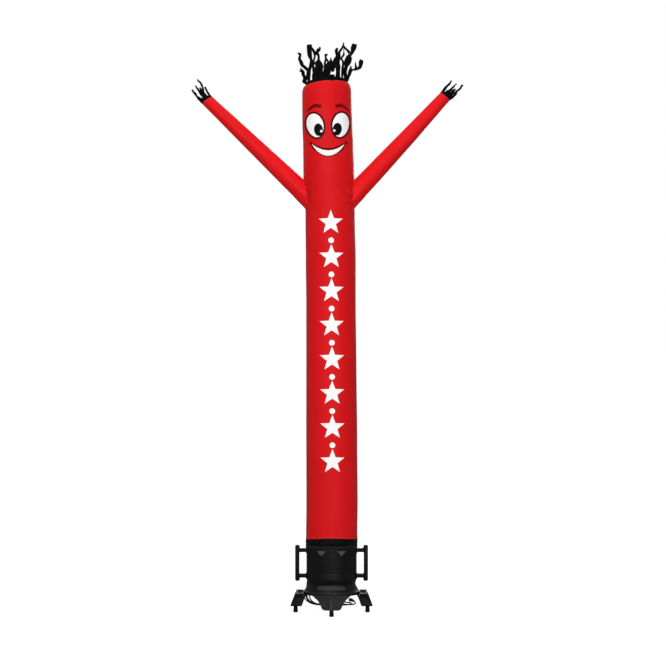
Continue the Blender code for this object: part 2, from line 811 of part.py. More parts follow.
def cord_coil(finish):
    """The outer shape of the turns that lie on the floor, one ring."""
    outer = COIL_RADIUS + CORD_DIAMETER / 2
    inner = outer - COIL_WIDTH
    low, high, edge = 0.0002, CORD_DIAMETER + 0.0004, 0.002
    profile = (
        (outer - edge, high),
        (outer, high - edge),
        (outer, low + edge),
        (outer - edge, low),
        (inner + edge, low),
        (inner, low + edge),
        (inner, high - edge),
        (inner + edge, high),
    )
    bm = turned(profile, 40)
    bmesh.ops.translate(bm, verts=bm.verts, vec=COIL_CENTRE - Vector((AXIS_X, 0, 0)))
    add("cord_coil", bm, finish)


def cord_plug(finish):
    """The plug at the cord's end, which lies flat: a tapered body and its prongs."""
    end, before = Vector(TAIL_ROUTE[-1]), Vector(TAIL_ROUTE[-2])
    along = (end - before).normalized()
    along = Vector((along.x, along.y, 0)).normalized()
    bm = bmesh.new()
    bmesh.ops.create_cube(bm, size=1)
    for vert in bm.verts:
        front = vert.co.x > 0
        vert.co = (
            PLUG_LENGTH if front else 0.0,
            vert.co.y * PLUG_WIDTH * (1 if front else 0.55),
            (vert.co.z + 0.5) * PLUG_HEIGHT if front else 0.010 + vert.co.z * 0.013,
        )
    bmesh.ops.bevel(
        bm, geom=bm.edges[:], offset=0.003, segments=2, profile=0.5, affect="EDGES", material=-1
    )
    turn = along.to_track_quat("X", "Z").to_matrix().to_4x4()
    place = Matrix.Translation(Vector((end.x, end.y, 0)) + (GAP + 0.0003) * along) @ turn
    bmesh.ops.transform(bm, matrix=place, verts=bm.verts)
    body = add("cord_plug", bm, finish)
    for side in (-1, 0, 1):
        prong = bmesh.new()
        bmesh.ops.create_cube(prong, size=1)
        reach = PRONG_LENGTH + 0.004
        thick = Vector((reach, 0.0048 if side == 0 else 0.0018, 0.0048 if side == 0 else 0.0062))
        centre = Vector(
            (
                PLUG_LENGTH - 0.004 + reach / 2,
                side * 0.0064,
                PLUG_HEIGHT / 2 + (-0.0055 if side == 0 else 0.0035),
            )
        )
        bmesh.ops.scale(prong, vec=thick, verts=prong.verts)
        bmesh.ops.translate(prong, vec=centre, verts=prong.verts)
        bmesh.ops.transform(prong, matrix=place, verts=prong.verts)
        part = hide(add(f"prong_{side + 2}", prong, finish))
        union = body.modifiers.new("Prong", "BOOLEAN")
        union.operation = "UNION"
        union.object = part


def build_cloth():
    """The tube, its sleeves, fringes, cuff and strap."""
    core = tube_core()
    body_tube(material("tube cloth", (0.70, 0.012, 0.018), 0.55), [arm_hole(arm) for arm in ARMS])
    for arm in ARMS:
        sleeve(arm, material(f"{arm.name} sleeve cloth", (0.72, 0.012, 0.020), 0.55), core)
        black = material(f"{arm.name} fringe cloth", (0.010, 0.010, 0.011), 0.6)
        comb(f"hand_fringe_{arm.name}", HANDS[arm.name], HAND_BAND, 3, hand_ring(arm), black)
    black = material("hair cloth", (0.009, 0.009, 0.010), 0.6)
    comb("hair_fringe", HAIR, HAIR_BAND, 4, hair_ring, black)
    cuff(material("cuff cloth", (0.012, 0.011, 0.012), 0.7))
    cinch_strap(material("webbing", (0.020, 0.020, 0.022), 0.65))


def build_blower():
    """The drum, its base, legs, feet, handles, guard and lugs."""
    drum(material("drum plastic", (0.016, 0.016, 0.018), 0.42))
    base_ring(material("ring plastic", (0.018, 0.018, 0.020), 0.45))
    inlet_guard(material("guard steel", (0.030, 0.030, 0.032), 0.4, 0.6))
    core = drum_core()
    for number, angle in enumerate(LUG_ANGLES, 1):
        lug(number, angle, material(f"lug plastic {number}", (0.06, 0.06, 0.06), 0.5), core)
    for name, angle in (("right", 0.0), ("left", math.pi)):
        handle(f"handle_{name}", angle, material(f"{name} handle plastic", (0.012, 0.012, 0.013), 0.4))
    for number, name in enumerate(("right", "back", "left", "front")):
        angle = number * math.pi / 2
        leg(name, angle, material(f"{name} leg plastic", (0.020, 0.020, 0.022), 0.48))
        foot(name, angle, material(f"{name} foot rubber", (0.010, 0.010, 0.010), 0.75))


def build_cord():
    """The strain relief, the cord's two free stretches, its coil and its plug."""
    rubber = (0.010, 0.010, 0.011)
    gland(material("gland rubber", rubber, 0.6))
    exit_at, outward = cord_exit(), gland_frame()[1]
    lead = [exit_at, exit_at + CORD_STRAIGHT * outward, *LEAD_ROUTE]
    cord("cord_lead", lead, material("lead jacket", rubber, 0.5))
    cord_coil(material("coil jacket", rubber, 0.5))
    cord("cord_tail", TAIL_ROUTE, material("tail jacket", rubber, 0.5))
    cord_plug(material("plug rubber", (0.014, 0.014, 0.015), 0.5))


def main():
    """Clears the scene and builds the air dancer."""
    for old in list(bpy.data.objects):
        bpy.data.objects.remove(old)
    build_cloth()
    build_blower()
    build_cord()


main()
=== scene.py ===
"""Dresses the inflatable air dancer: its nylon figure, fringes and face, its blower and its power cord."""

import logging
import math
from collections.abc import Callable, Iterable, Sequence
from dataclasses import dataclass, field
from enum import Enum

import bmesh
import bpy
from bmesh.types import BMEdge, BMesh, BMVert
from bpy.types import Material, Mesh, Node, NodeSocket as Socket, Object
from mathutils import Matrix, Vector, noise
from mathutils.bvhtree import BVHTree

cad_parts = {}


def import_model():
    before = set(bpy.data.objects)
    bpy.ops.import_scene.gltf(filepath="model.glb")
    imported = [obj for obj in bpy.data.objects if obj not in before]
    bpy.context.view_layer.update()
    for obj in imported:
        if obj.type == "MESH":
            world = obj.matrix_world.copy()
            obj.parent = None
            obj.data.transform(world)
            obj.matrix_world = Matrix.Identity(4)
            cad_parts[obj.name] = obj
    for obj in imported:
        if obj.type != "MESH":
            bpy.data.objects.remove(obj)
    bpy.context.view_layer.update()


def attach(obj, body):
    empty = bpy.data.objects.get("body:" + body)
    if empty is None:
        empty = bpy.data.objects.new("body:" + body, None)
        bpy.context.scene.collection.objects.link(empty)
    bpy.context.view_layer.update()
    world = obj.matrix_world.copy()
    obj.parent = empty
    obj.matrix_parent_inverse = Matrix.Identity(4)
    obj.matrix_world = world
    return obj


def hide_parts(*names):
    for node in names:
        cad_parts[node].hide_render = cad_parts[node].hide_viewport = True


LOG = logging.getLogger("air_dancer")
MM = 0.001
TAU = 2 * math.pi
FRONT = -TAU / 4  # the direction in which the face looks
BACK = TAU / 4
AXIS_X = 0.027  # the blower's axis
GAP = 0.0003  # what keeps two touching pieces apart
DOUBLES = 1e-6  # closer corners than this are one
UP, ACROSS, REARWARD = Vector((0, 0, 1)), Vector((1, 0, 0)), Vector((0, 1, 0))

Place = Callable[[int, int], Vector]
Pair = tuple[float, float]  # two sizes, or the ends of a range
Spot = tuple[float, float]  # across and up, as seen from ahead
Point = tuple[float, float, float]


# --- working the meshes


def eased(share: float) -> float:
    """A share between 0 and 1, slow at both ends."""
    share = min(1.0, max(0.0, share))
    return share * share * (3 - 2 * share)


def between(low: float, high: float, share: float) -> float:
    """The value this share of the way from low to high."""
    return low + (high - low) * share


def noise_at(a: float, b: float, c: float = 0.0) -> float:
    """Smooth noise between about -1 and 1, the same at each run."""
    return noise.noise(Vector((a, b, c)))


def ring_noise(angle: float, scale: float, seed: float = 0.0) -> float:
    """Smooth noise that closes on itself round a ring."""
    return noise_at(math.cos(angle) * scale, math.sin(angle) * scale, seed)


def away(angle: float) -> Vector:
    """The level direction at this angle."""
    return Vector((math.cos(angle), math.sin(angle), 0))


def upright(radius: float, angle: float, height: float, middle: float = AXIS_X) -> Vector:
    """The spot this far from an upright axis through the middle's x."""
    return Vector((middle + radius * math.cos(angle), radius * math.sin(angle), height))


def in_scene(name: str, data: bpy.types.ID) -> Object:
    """Puts an object with this data into the scene."""
    bpy.context.scene.collection.objects.link(made := bpy.data.objects.new(name, data))
    return made


def mesh_of(name: str, bm: BMesh) -> Mesh:
    """Turns a bmesh into a mesh, and frees it.

    Args:
        name: the mesh's name.
        bm: the bmesh.

    Returns:
        The mesh.
    """
    mesh = bpy.data.meshes.new(name)
    bm.to_mesh(mesh)
    bm.free()
    return mesh


def smoothed(mesh: Mesh, sharp: float) -> None:
    """Shades a mesh smooth, but for edges that turn more than this many degrees."""
    mesh.shade_smooth()
    mesh.set_sharp_from_angle(angle=math.radians(sharp))


def piece(name: str, bm: BMesh, *finishes: Material, sharp: float = 35) -> Object:
    """Puts a bmesh into the scene as one smooth piece on the part's body.

    Args:
        name: the piece's name.
        bm: its mesh, which is freed.
        finishes: its materials, in the order of the faces' material numbers.
        sharp: edges that turn more than this many degrees stay crisp.

    Returns:
        The new object.
    """
    mesh = mesh_of(name, bm)
    smoothed(mesh, sharp)
    for finish in finishes:
        mesh.materials.append(finish)
    made = in_scene(name, mesh)
    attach(made, "root")
    return made


def walled(made: Object, thickness: float, offset: float = -1) -> Object:
    """Gives an open sheet a thickness.

    Args:
        made: the sheet.
        thickness: how thick it becomes.
        offset: -1 to grow inwards, 0 to both sides.

    Returns:
        The same object.
    """
    wall = made.modifiers.new("Wall", "SOLIDIFY")
    wall.thickness = thickness
    wall.offset = offset
    return made


def baked(made: Object, sharp: float = 35) -> Object:
    """Applies an object's modifiers to its mesh.

    Args:
        made: the object.
        sharp: edges that turn more than this many degrees stay crisp.

    Returns:
        The same object.
    """
    graph = bpy.context.evaluated_depsgraph_get()
    mesh = bpy.data.meshes.new_from_object(made.evaluated_get(graph))
    made.modifiers.clear()
    made.data = mesh
    smoothed(mesh, sharp)
    return made


def gridded(columns: int, rows: int, place: Place, closed: bool = True) -> BMesh:
    """A grid with a UV map in steps of the grid, each corner moved to its place.

    Args:
        columns: faces across.
        rows: faces along.
        place: gives the point for a corner's column and row.
        closed: the last column meets the first.

    Returns:
        The grid's bmesh.
    """
    bm = bmesh.new()
    bmesh.ops.create_grid(bm, x_segments=columns, y_segments=rows, size=1, calc_uvs=True)
    uv = bm.loops.layers.uv.verify()
    for loop in (loop for face in bm.faces for loop in face.loops):
        spot = loop.vert.co
        loop[uv].uv = ((spot.x + 1) / 2 * columns, (spot.y + 1) / 2 * rows)
    for vert in bm.verts:
        at = round((vert.co.x + 1) / 2 * columns), round((vert.co.y + 1) / 2 * rows)
        vert.co = place(*at)
    if closed:
        bmesh.ops.remove_doubles(bm, verts=bm.verts, dist=DOUBLES)
    return bm


def scaled_uv(bm: BMesh, wide: float, high: float | None = None) -> None:
    """Turns a grid's UV map from steps into metres of cloth.

    Args:
        bm: the grid.
        wide: metres of cloth in a step across.
        high: metres in a step along. Without it, a corner's own height is taken.
    """
    uv = bm.loops.layers.uv.verify()
    for loop in (loop for face in bm.faces for loop in face.loops):
        along = loop.vert.co.z if high is None else loop[uv].uv.y * high
        loop[uv].uv = (loop[uv].uv.x * wide, along)


def outward(bm: BMesh, middle: Vector) -> BMesh:
    """Turns the faces of an open tube away from its middle line.

    Args:
        bm: the tube.
        middle: a point of its middle line.

    Returns:
        The same bmesh.
    """
    face = min(bm.faces, key=lambda f: (f.calc_center_median() - middle).length)
    face.normal_update()
    if face.normal.dot(face.calc_center_median() - middle) < 0:
        bmesh.ops.reverse_faces(bm, faces=bm.faces)
    return bm


def faced(bm: BMesh) -> BMesh:
    """Turns the faces of a closed shape outwards."""
    bmesh.ops.recalc_face_normals(bm, faces=bm.faces)
    return bm


def capped(bm: BMesh, sides: int) -> BMesh:
    """Closes the ends of a tube with this many sides, its faces outwards."""
    bmesh.ops.holes_fill(bm, edges=bm.edges, sides=sides)
    return faced(bm)


def moved(bm: BMesh, matrix: Matrix) -> BMesh:
    """Carries a bmesh to another place."""
    bmesh.ops.transform(bm, matrix=matrix, verts=bm.verts)
    return bm


def bevelled(bm: BMesh, edges: Iterable[BMEdge], offset: float, segments: int = 2) -> BMesh:
    """Rounds some edges.

    Args:
        bm: the bmesh.
        edges: its edges to round.
        offset: how far from each edge the rounding starts.
        segments: how many steps it takes.

    Returns:
        The same bmesh.
    """
    bmesh.ops.bevel(
        bm, geom=list(edges), offset=offset, segments=segments, profile=0.5, affect="EDGES", material=-1,
        clamp_overlap=True,
    )
    return bm


def box(size: Sequence[float], at: Sequence[float] = (0, 0, 0)) -> BMesh:
    """A square block, for a bar or a rib.

    Args:
        size: its three sides.
        at: its middle.

    Returns:
        The block's bmesh.
    """
    bm = bmesh.new()
    bmesh.ops.create_cube(bm, size=1)
    bmesh.ops.scale(bm, vec=size, verts=bm.verts)
    bmesh.ops.translate(bm, vec=at, verts=bm.verts)
    return bm


def turned(profile: Sequence[Spot], steps: int = 128, closed: bool = True, middle: float = AXIS_X) -> BMesh:
    """An outline of (radius, height) points, spun about an upright axis.

    Args:
        profile: the outline.
        steps: how many steps the turn takes.
        closed: the outline's last point joins its first.
        middle: the axis's x.

    Returns:
        The turned bmesh, its faces outwards.
    """
    bm = bmesh.new()
    verts = [bm.verts.new((middle + radius, 0, height)) for radius, height in profile]
    ends = verts[1:] + (verts[:1] if closed else [])
    edges = [bm.edges.new(pair) for pair in zip(verts, ends)]
    bmesh.ops.spin(
        bm, geom=verts + edges, cent=(middle, 0, 0), axis=(0, 0, 1), angle=TAU, steps=steps, use_merge=True,
    )
    bmesh.ops.remove_doubles(bm, verts=bm.verts, dist=DOUBLES)
    return faced(bm)


def rounded(profile: Sequence[Point], steps: int = 4) -> list[Spot]:
    """A closed outline with its corners rounded.

    Args:
        profile: (x, z, radius) corners in order.
        steps: how many steps each corner takes.

    Returns:
        The rounded outline's points.
    """
    most = 0.48  # of an edge, that one corner's rounding may take
    made: list[Spot] = []
    count = len(profile)
    for i, (x, z, radius) in enumerate(profile):
        here = Vector((x, z))
        if radius <= 0:
            made.append((x, z))
            continue
        back = Vector(profile[i - 1][:2]) - here
        on = Vector(profile[(i + 1) % count][:2]) - here
        reach = min(radius, back.length * most, on.length * most)
        start, end = here + back.normalized() * reach, here + on.normalized() * reach
        for step in range(steps + 1):
            t = step / steps
            spot = (1 - t) ** 2 * start + 2 * t * (1 - t) * here + t**2 * end
            made.append((spot.x, spot.y))
    return made


def slab(outline: Sequence[Spot], depth: float, bevel: float = 0.0) -> BMesh:
    """A flat outline of (x, z) points made as thick as depth along Y, about y = 0, its rims bevelled.

    Args:
        outline: the outline's points.
        depth: its thickness.
        bevel: how much its rims are bevelled.

    Returns:
        The slab's bmesh.
    """
    bm = bmesh.new()
    face = bm.faces.new([bm.verts.new((x, -depth / 2, z)) for x, z in outline])
    grown = bmesh.ops.extrude_face_region(bm, geom=[face])["geom"]
    top = [v for v in grown if isinstance(v, BMVert)]
    bmesh.ops.translate(bm, verts=top, vec=(0, depth, 0))
    faced(bm)
    if bevel:
        rims = [e for e in bm.edges if abs(e.verts[0].co.y - e.verts[1].co.y) < DOUBLES / 10]
        bevelled(bm, rims, bevel, 3)
    return bm


def joined(first: BMesh, *others: BMesh) -> BMesh:
    """Puts the other bmeshes into the first one, each with its material numbers.

    Args:
        first: the bmesh that takes them in.
        others: the rest, which are freed.

    Returns:
        The first bmesh.
    """
    for other in others:
        held = mesh_of("held", other)
        first.from_mesh(held)
        bpy.data.meshes.remove(held)
    return first


def about_axis(angle: float) -> Matrix:
    """The matrix that carries what is built along +X of the blower's axis round to this angle."""
    return Matrix.Translation((AXIS_X, 0, 0)) @ Matrix.Rotation(angle, 4, "Z")


def smooth_path(points: Sequence[Vector], steps: int) -> list[Vector]:
    """One smooth curve through some points.

    Args:
        points: what it runs through.
        steps: how many steps it takes between each two.

    Returns:
        The curve's points.
    """
    ends = [2 * points[0] - points[1], *points, 2 * points[-1] - points[-2]]
    made = []
    for a, b, c, d in zip(ends, ends[1:], ends[2:], ends[3:]):
        for step in range(steps):
            t = step / steps
            bend, turn = 2 * a - 5 * b + 4 * c - d, 3 * b - a - 3 * c + d
            made.append(0.5 * (2 * b + (c - a) * t + bend * t**2 + turn * t**3))
    made.append(points[-1].copy())
    return made


def rod(points: Sequence[Vector], radius: float | Sequence[float], sides: int = 8) -> BMesh:
    """A round bar along these points, its ends closed.

    Args:
        points: the bar's middle line.
        radius: its radius, or one for each point.
        sides: how many sides it has.

    Returns:
        The bar's bmesh.
    """
    last = len(points) - 1
    radii = radius if isinstance(radius, Sequence) else [radius] * len(points)
    tangents = [(points[min(i + 1, last)] - points[max(i - 1, 0)]).normalized() for i in range(last + 1)]
    up = UP if abs(tangents[0].z) < 0.9 else ACROSS
    sideways = []
    for tangent in tangents:
        up = (up - up.dot(tangent) * tangent).normalized()
        sideways.append((up.copy(), tangent.cross(up)))

    def place(column: int, row: int) -> Vector:
        """The bar's point at this side and step."""
        turn, (first, second) = column / sides * TAU, sideways[row]
        return points[row] + radii[row] * (math.cos(turn) * first + math.sin(turn) * second)

    return capped(gridded(sides, last, place), sides)


# --- finishes


Colour = tuple[float, float, float]
BAND = 3.2  # a wave texture's bands in a unit of its scale


def tinted(colour: Colour, times: float, plus: float = 0.0) -> Colour:
    """A lighter or darker colour of the same kind."""
    return tuple(min(1.0, part * times + plus) for part in colour)


class Nodes:
    """A short way to add nodes to one material."""

    def __init__(self, name: str) -> None:
        """Starts a material.

        Args:
            name: the material's name.
        """
        self.material = bpy.data.materials.new(name)
        self.material.use_nodes = True
        self.tree = self.material.node_tree
        self.shader = self.tree.nodes["Principled BSDF"]

    def add(self, kind: str, **settings: object) -> Node:
        """Adds a node.

        Args:
            kind: its type, without the first part.
            settings: its properties or, by their names, its inputs.

        Returns:
            The node.
        """
        node = self.tree.nodes.new(f"ShaderNode{kind}")
        for name, value in settings.items():
            if hasattr(node, name):
                setattr(node, name, value)
            else:
                node.inputs[name.replace("_", " ").title()].default_value = value
        return node

    def fed(self, source: Socket, node: Node, put: str, get: str) -> Socket:
        """Links a socket into this input of a node, and gives back one of the node's outputs."""
        self.tree.links.new(source, node.inputs[put])
        return node.outputs[get]

    def dress(self, source: Socket, target: str) -> None:
        """Links a socket to this input of the shader."""
        self.tree.links.new(source, self.shader.inputs[target])

    def even(self, **values: object) -> None:
        """Sets what is the same all over on the shader's own sockets.

        Args:
            values: numbers and colours, by the sockets' names.
        """
        for name, value in values.items():
            label = name.replace("_", " ").title().replace("Ior", "IOR")
            self.shader.inputs[label].default_value = value

    def cloth_map(self) -> Socket:
        """The piece's own UV map."""
        return self.add("TexCoord").outputs["UV"]

    def spot(self) -> Socket:
        """The piece's object coordinates."""
        return self.add("TexCoord").outputs["Object"]

    def noise(self, where: Socket, scale: float, detail: float = 3.0) -> Socket:
        """Noise of this scale at these coordinates."""
        node = self.add("TexNoise", scale=scale, detail=detail, roughness=0.55)
        return self.fed(where, node, "Vector", "Fac")

    def wave(self, where: Socket, scale: float, direction: str) -> Socket:
        """Even bands of this scale across this axis."""
        node = self.add("TexWave", wave_type="BANDS", bands_direction=direction, scale=scale)
        return self.fed(where, node, "Vector", "Fac")

    def ranged(self, source: Socket, low: float, high: float, start: float = 0, end: float = 1) -> Socket:
        """The source, from start to end, carried to run from low to high."""
        node = self.add("MapRange", to_min=low, to_max=high, from_min=start, from_max=end)
        return self.fed(source, node, "Value", "Result")

    def maths(self, operation: str, *values: Socket | float) -> Socket:
        """One sum on two sockets or numbers.

        Args:
            operation: its name.
            values: the two.

        Returns:
            The result's socket.
        """
        node = self.add("Math", operation=operation)
        for socket, value in zip(node.inputs, values):
            if isinstance(value, Socket):
                self.tree.links.new(value, socket)
            else:
                socket.default_value = value
        return node.outputs[0]

    def times(self, *values: Socket | float) -> Socket:
        """The product of two sockets or numbers."""
        return self.maths("MULTIPLY", *values)

    def plus(self, *values: Socket | float) -> Socket:
        """The sum of two sockets or numbers."""
        return self.maths("ADD", *values)

    def coloured(self, share: Socket, first: Colour, second: Colour) -> None:
        """Colours the shader between two colours.

        Args:
            share: how much of the second shows.
            first: the colour at 0.
            second: the colour at 1.
        """
        node = self.add("ValToRGB")
        for stop, colour in zip(node.color_ramp.elements, (first, second)):
            stop.color = (*colour, 1)
        self.dress(self.fed(share, node, "Fac", "Color"), "Base Color")

    def finished(self, height: Socket, strength: float, distance: float) -> Material:
        """Raises the surface, which ends the material.

        Args:
            height: how high each spot stands.
            strength: how strongly it shows.
            distance: what a height of 1 stands for, in metres.

        Returns:
            The material.
        """
        bump = self.add("Bump", strength=strength, distance=distance)
        self.dress(self.fed(height, bump, "Height", "Normal"), "Normal")
        return self.material


@dataclass(frozen=True)
class Cloth:
    """Coated woven cloth, whose threads follow the piece's own UV map in metres."""

    name: str
    light: Colour
    dark: Colour
    roughness: float = 0.45
    sheen: float = 0.12
    specular: float = 0.055
    thread: float = 0.0009
    grid: float = 0.0052
    relief: float = 0.00010
    crinkle: float = 0.0005

    def material(self) -> Material:
        """Makes the weave, its ripstop grid and its soft, uneven gloss.

        Returns:
            The material.
        """
        made = Nodes(self.name)
        uv, spot = made.cloth_map(), made.spot()
        weave = made.times(*[made.wave(uv, 1 / self.thread / BAND, axis) for axis in "XY"])
        rips = [made.ranged(made.wave(uv, 1 / self.grid / BAND, axis), 0.0, 1.0, 0.88, 1.0) for axis in "XY"]
        grid = made.maths("MAXIMUM", *rips)
        tone = made.ranged(made.noise(spot, 3.5), 0.0, 0.75, 0.3, 0.7)
        tone = made.plus(tone, made.times(made.noise(spot, 60.0), 0.25))
        made.coloured(tone, self.dark, self.light)
        dull, shine = self.roughness + 0.06, self.roughness - 0.06
        made.dress(made.ranged(made.noise(spot, 9.0), shine, dull, 0.3, 0.7), "Roughness")
        made.even(sheen_weight=self.sheen, sheen_roughness=0.4, specular_ior_level=self.specular)
        height = made.times(made.plus(weave, made.times(grid, 1.6)), self.relief)
        soft = made.times(made.noise(spot, 16.0, 4.0), self.crinkle)
        return made.finished(made.plus(height, soft), 0.5, 1.0)


@dataclass(frozen=True)
class Ink:
    """Printed colour on the cloth, which keeps the weave's relief."""

    name: str
    colour: Colour
    roughness: float = 0.5

    def material(self) -> Material:
        """Makes the ink, its tone and gloss a little uneven, on the weave's relief.

        Returns:
            The material.
        """
        made = Nodes(self.name)
        spot = made.spot()
        weave = made.times(made.wave(spot, 340.0, "X"), made.wave(spot, 340.0, "Z"))
        worn = made.ranged(made.noise(spot, 45.0, 5.0), 0.0, 1.0, 0.35, 0.65)
        made.coloured(worn, tinted(self.colour, 0.975), tinted(self.colour, 1.015))
        made.dress(made.ranged(worn, self.roughness - 0.05, self.roughness + 0.05), "Roughness")
        made.even(specular_ior_level=0.06)
        return made.finished(weave, 0.2, 0.00003)


@dataclass(frozen=True)
class Moulding:
    """Moulded plastic with a fine grain, a little dust and lighter, worn edges."""

    name: str
    colour: Colour
    roughness: float = 0.42
    grain: float = 0.00006
    dust: float = 0.35
    specular: float = 0.14

    def material(self) -> Material:
        """Makes the moulded, slightly dusty surface.

        Returns:
            The material.
        """
        made = Nodes(self.name)
        spot = made.spot()
        flow = made.noise(spot, 14.0, 4.0)
        worn = made.ranged(made.add("NewGeometry").outputs["Pointiness"], 0.0, 1.0, 0.52, 0.62)
        specks = made.ranged(made.noise(spot, 90.0, 6.0), 0.0, 1.0, 0.45, 0.75)
        share = made.plus(made.times(worn, 0.55), made.times(specks, self.dust * 0.5))
        made.coloured(share, self.colour, tinted(self.colour, 2.1, 0.006))
        gloss = made.ranged(flow, self.roughness - 0.06, self.roughness + 0.05, 0.3, 0.7)
        made.dress(made.plus(gloss, made.times(specks, 0.08)), "Roughness")
        made.even(specular_ior_level=self.specular)
        return made.finished(made.noise(spot, 1400.0, 2.0), 0.4, self.grain)


@dataclass(frozen=True)
class Rubber:
    """Soft black rubber or vinyl, scuffed where it is handled."""

    name: str
    colour: Colour
    roughness: float = 0.6

    def material(self) -> Material:
        """Makes the rubber's dull, slightly marked surface.

        Returns:
            The material.
        """
        made = Nodes(self.name)
        spot = made.spot()
        marks = made.ranged(made.noise(spot, 120.0, 6.0), 0.0, 1.0, 0.4, 0.75)
        made.coloured(marks, self.colour, tinted(self.colour, 1.8, 0.004))
        made.dress(made.ranged(marks, self.roughness - 0.05, self.roughness + 0.1), "Roughness")
        made.even(specular_ior_level=0.15)
        return made.finished(made.noise(spot, 900.0, 3.0), 0.3, 0.00005)


@dataclass(frozen=True)
class Metal:
    """Powder-coated or bare steel."""

    name: str
    colour: Colour
    roughness: float
    metallic: float

    def material(self) -> Material:
        """Makes the metal, uneven as a coating is.

        Returns:
            The material.
        """
        made = Nodes(self.name)
        spot = made.spot()
        flow = made.noise(spot, 60.0, 4.0)
        made.coloured(flow, tinted(self.colour, 0.75), self.colour)
        made.dress(made.ranged(flow, self.roughness - 0.06, self.roughness + 0.08, 0.3, 0.7), "Roughness")
        made.even(metallic=self.metallic)
        return made.finished(made.noise(spot, 700.0, 2.0), 0.25, 0.00005)


@dataclass(frozen=True)
class Webbing:
    """Woven strap, with ribs across it."""

    name: str
    colour: Colour
    rib: float = 0.0022
    thread: float = 0.0011

    def material(self) -> Material:
        """Makes the ribbed weave, on the strap's own UV map in metres.

        Returns:
            The material.
        """
        made = Nodes(self.name)
        uv, spot = made.cloth_map(), made.spot()
        ribs = made.wave(uv, 1 / self.rib / BAND, "X")
        weave = made.times(ribs, made.ranged(made.wave(uv, 1 / self.thread / BAND, "Y"), 0.6, 1.0))
        # the ribs are painted lighter and the grooves darker: painted highlight and shade that follow the
        # relief
        made.coloured(weave, self.colour, tinted(self.colour, 1.8, 0.001))
        made.dress(made.ranged(made.noise(spot, 200.0), 0.58, 0.75, 0.3, 0.7), "Roughness")
        made.even(sheen_weight=0.03, sheen_roughness=0.5, specular_ior_level=0.1)
        return made.finished(weave, 0.5, 0.0003)


RED = Cloth("red nylon", (0.70, 0.0085, 0.0115), (0.63, 0.0070, 0.0100), 0.46, 0.02)
# the sleeves' nylon is the tube's red painted lighter: a painted highlight for arms that face the top light
LIT_SLEEVE_RED = Cloth("red sleeve nylon, painted lighter", (0.77, 0.0090, 0.0120), (0.69, 0.0075, 0.0105), 0.46, 0.02)
BLACK = Cloth("black nylon", (0.0013, 0.0013, 0.0015), (0.0006, 0.0006, 0.0008), 0.7, 0.0, specular=0.07)
# the rolled hems' nylon is the tube's red painted lighter and pinker: a painted highlight along the rolls
LIT_HEM_RED = Cloth("red hem nylon, painted lighter", (0.80, 0.060, 0.075), (0.72, 0.045, 0.060), 0.46, 0.02)
CUFF_BLACK = Cloth("black cuff nylon", (0.0050, 0.0050, 0.0055), (0.0028, 0.0028, 0.0032), 0.6, 0.01)
STRAP = Webbing("black webbing", (0.0060, 0.0060, 0.0065))
THREAD = Rubber("seam thread", (0.55, 0.045, 0.055), 0.6)
HOUSING = Moulding("housing plastic", (0.0038, 0.0038, 0.0042), 0.45)
# the flare strip's lighter plastic is a painted highlight on the flare
FLARE_HIGHLIGHT_PLASTIC = Moulding("flare strip plastic, painted highlight", (0.0220, 0.0220, 0.0230), 0.62, specular=0.26)
RING_PLASTIC = Moulding("base plastic", (0.0055, 0.0055, 0.0060), 0.38, specular=0.30)
LEG_PLASTIC = Moulding("leg plastic", (0.0066, 0.0066, 0.0074), 0.42, specular=0.20)
HANDLE_PLASTIC = Moulding("handle plastic", (0.0010, 0.0010, 0.0012), 0.50, specular=0.10)
LUG_PLASTIC = Moulding("lug plastic", (0.044, 0.044, 0.046), 0.45, specular=0.3)
FOOT_RUBBER = Rubber("foot rubber", (0.0010, 0.0010, 0.0010), 0.75)
JACKET = Rubber("cord jacket", (0.0010, 0.0010, 0.0012), 0.48)
GUARD_STEEL = Metal("guard steel", (0.02, 0.02, 0.022), 0.4, 0.5)
SCREW_STEEL = Metal("screw steel", (0.35, 0.35, 0.36), 0.3, 1.0)
BRASS = Metal("prong brass", (0.60, 0.45, 0.20), 0.28, 1.0)
WHITE_INK = Ink("white ink", (0.96, 0.955, 0.95))
CREAM_INK = Ink("warm white ink", (0.95, 0.90, 0.85))
MAROON_INK = Ink("maroon ink", (0.060, 0.001, 0.003))
BROW_INK = Ink("brow ink", (0.150, 0.002, 0.003))
BLACK_INK = Ink("black ink", (0.004, 0.004, 0.005))


# --- the tube


@dataclass(frozen=True)
class Section:
    """The tube at one height: its radius, and its middle's place from the blower's axis."""

    height: float
    radius: float
    shift: float


@dataclass(frozen=True)
class Crease:
    """A soft fold in the tube's cloth, from one spot to another.

    Spots are (angle in degrees about the axis, height). A negative depth is a ridge.
    """

    start: Spot
    end: Spot
    width: float
    depth: float
    reach: float = 3.5  # in widths
    shoulder: float = 0.45  # how high the cloth stands beside the fold, in depths

    def at(self, angle: float, height: float, radius: float) -> float:
        """How much the fold moves the cloth outwards at a spot.

        Args:
            angle: the spot's direction.
            height: its height.
            radius: the tube's radius there.

        Returns:
            The move in metres.
        """
        first, second = math.radians(self.start[0]), math.radians(self.end[0])
        x, z = math.remainder(angle - first, TAU) * radius, height - self.start[1]
        run_x, run_z = (second - first) * radius, self.end[1] - self.start[1]
        share = min(1.0, max(0.0, (x * run_x + z * run_z) / (run_x * run_x + run_z * run_z)))
        off = math.hypot(x - share * run_x, z - share * run_z) / self.width
        if off > self.reach:
            return 0.0
        fade = math.sin(math.pi * (0.12 + 0.76 * share))
        beside = self.shoulder * math.exp(-((off - 1.9) ** 2) * 1.6)
        return -self.depth * fade * (math.exp(-off * off) - beside)


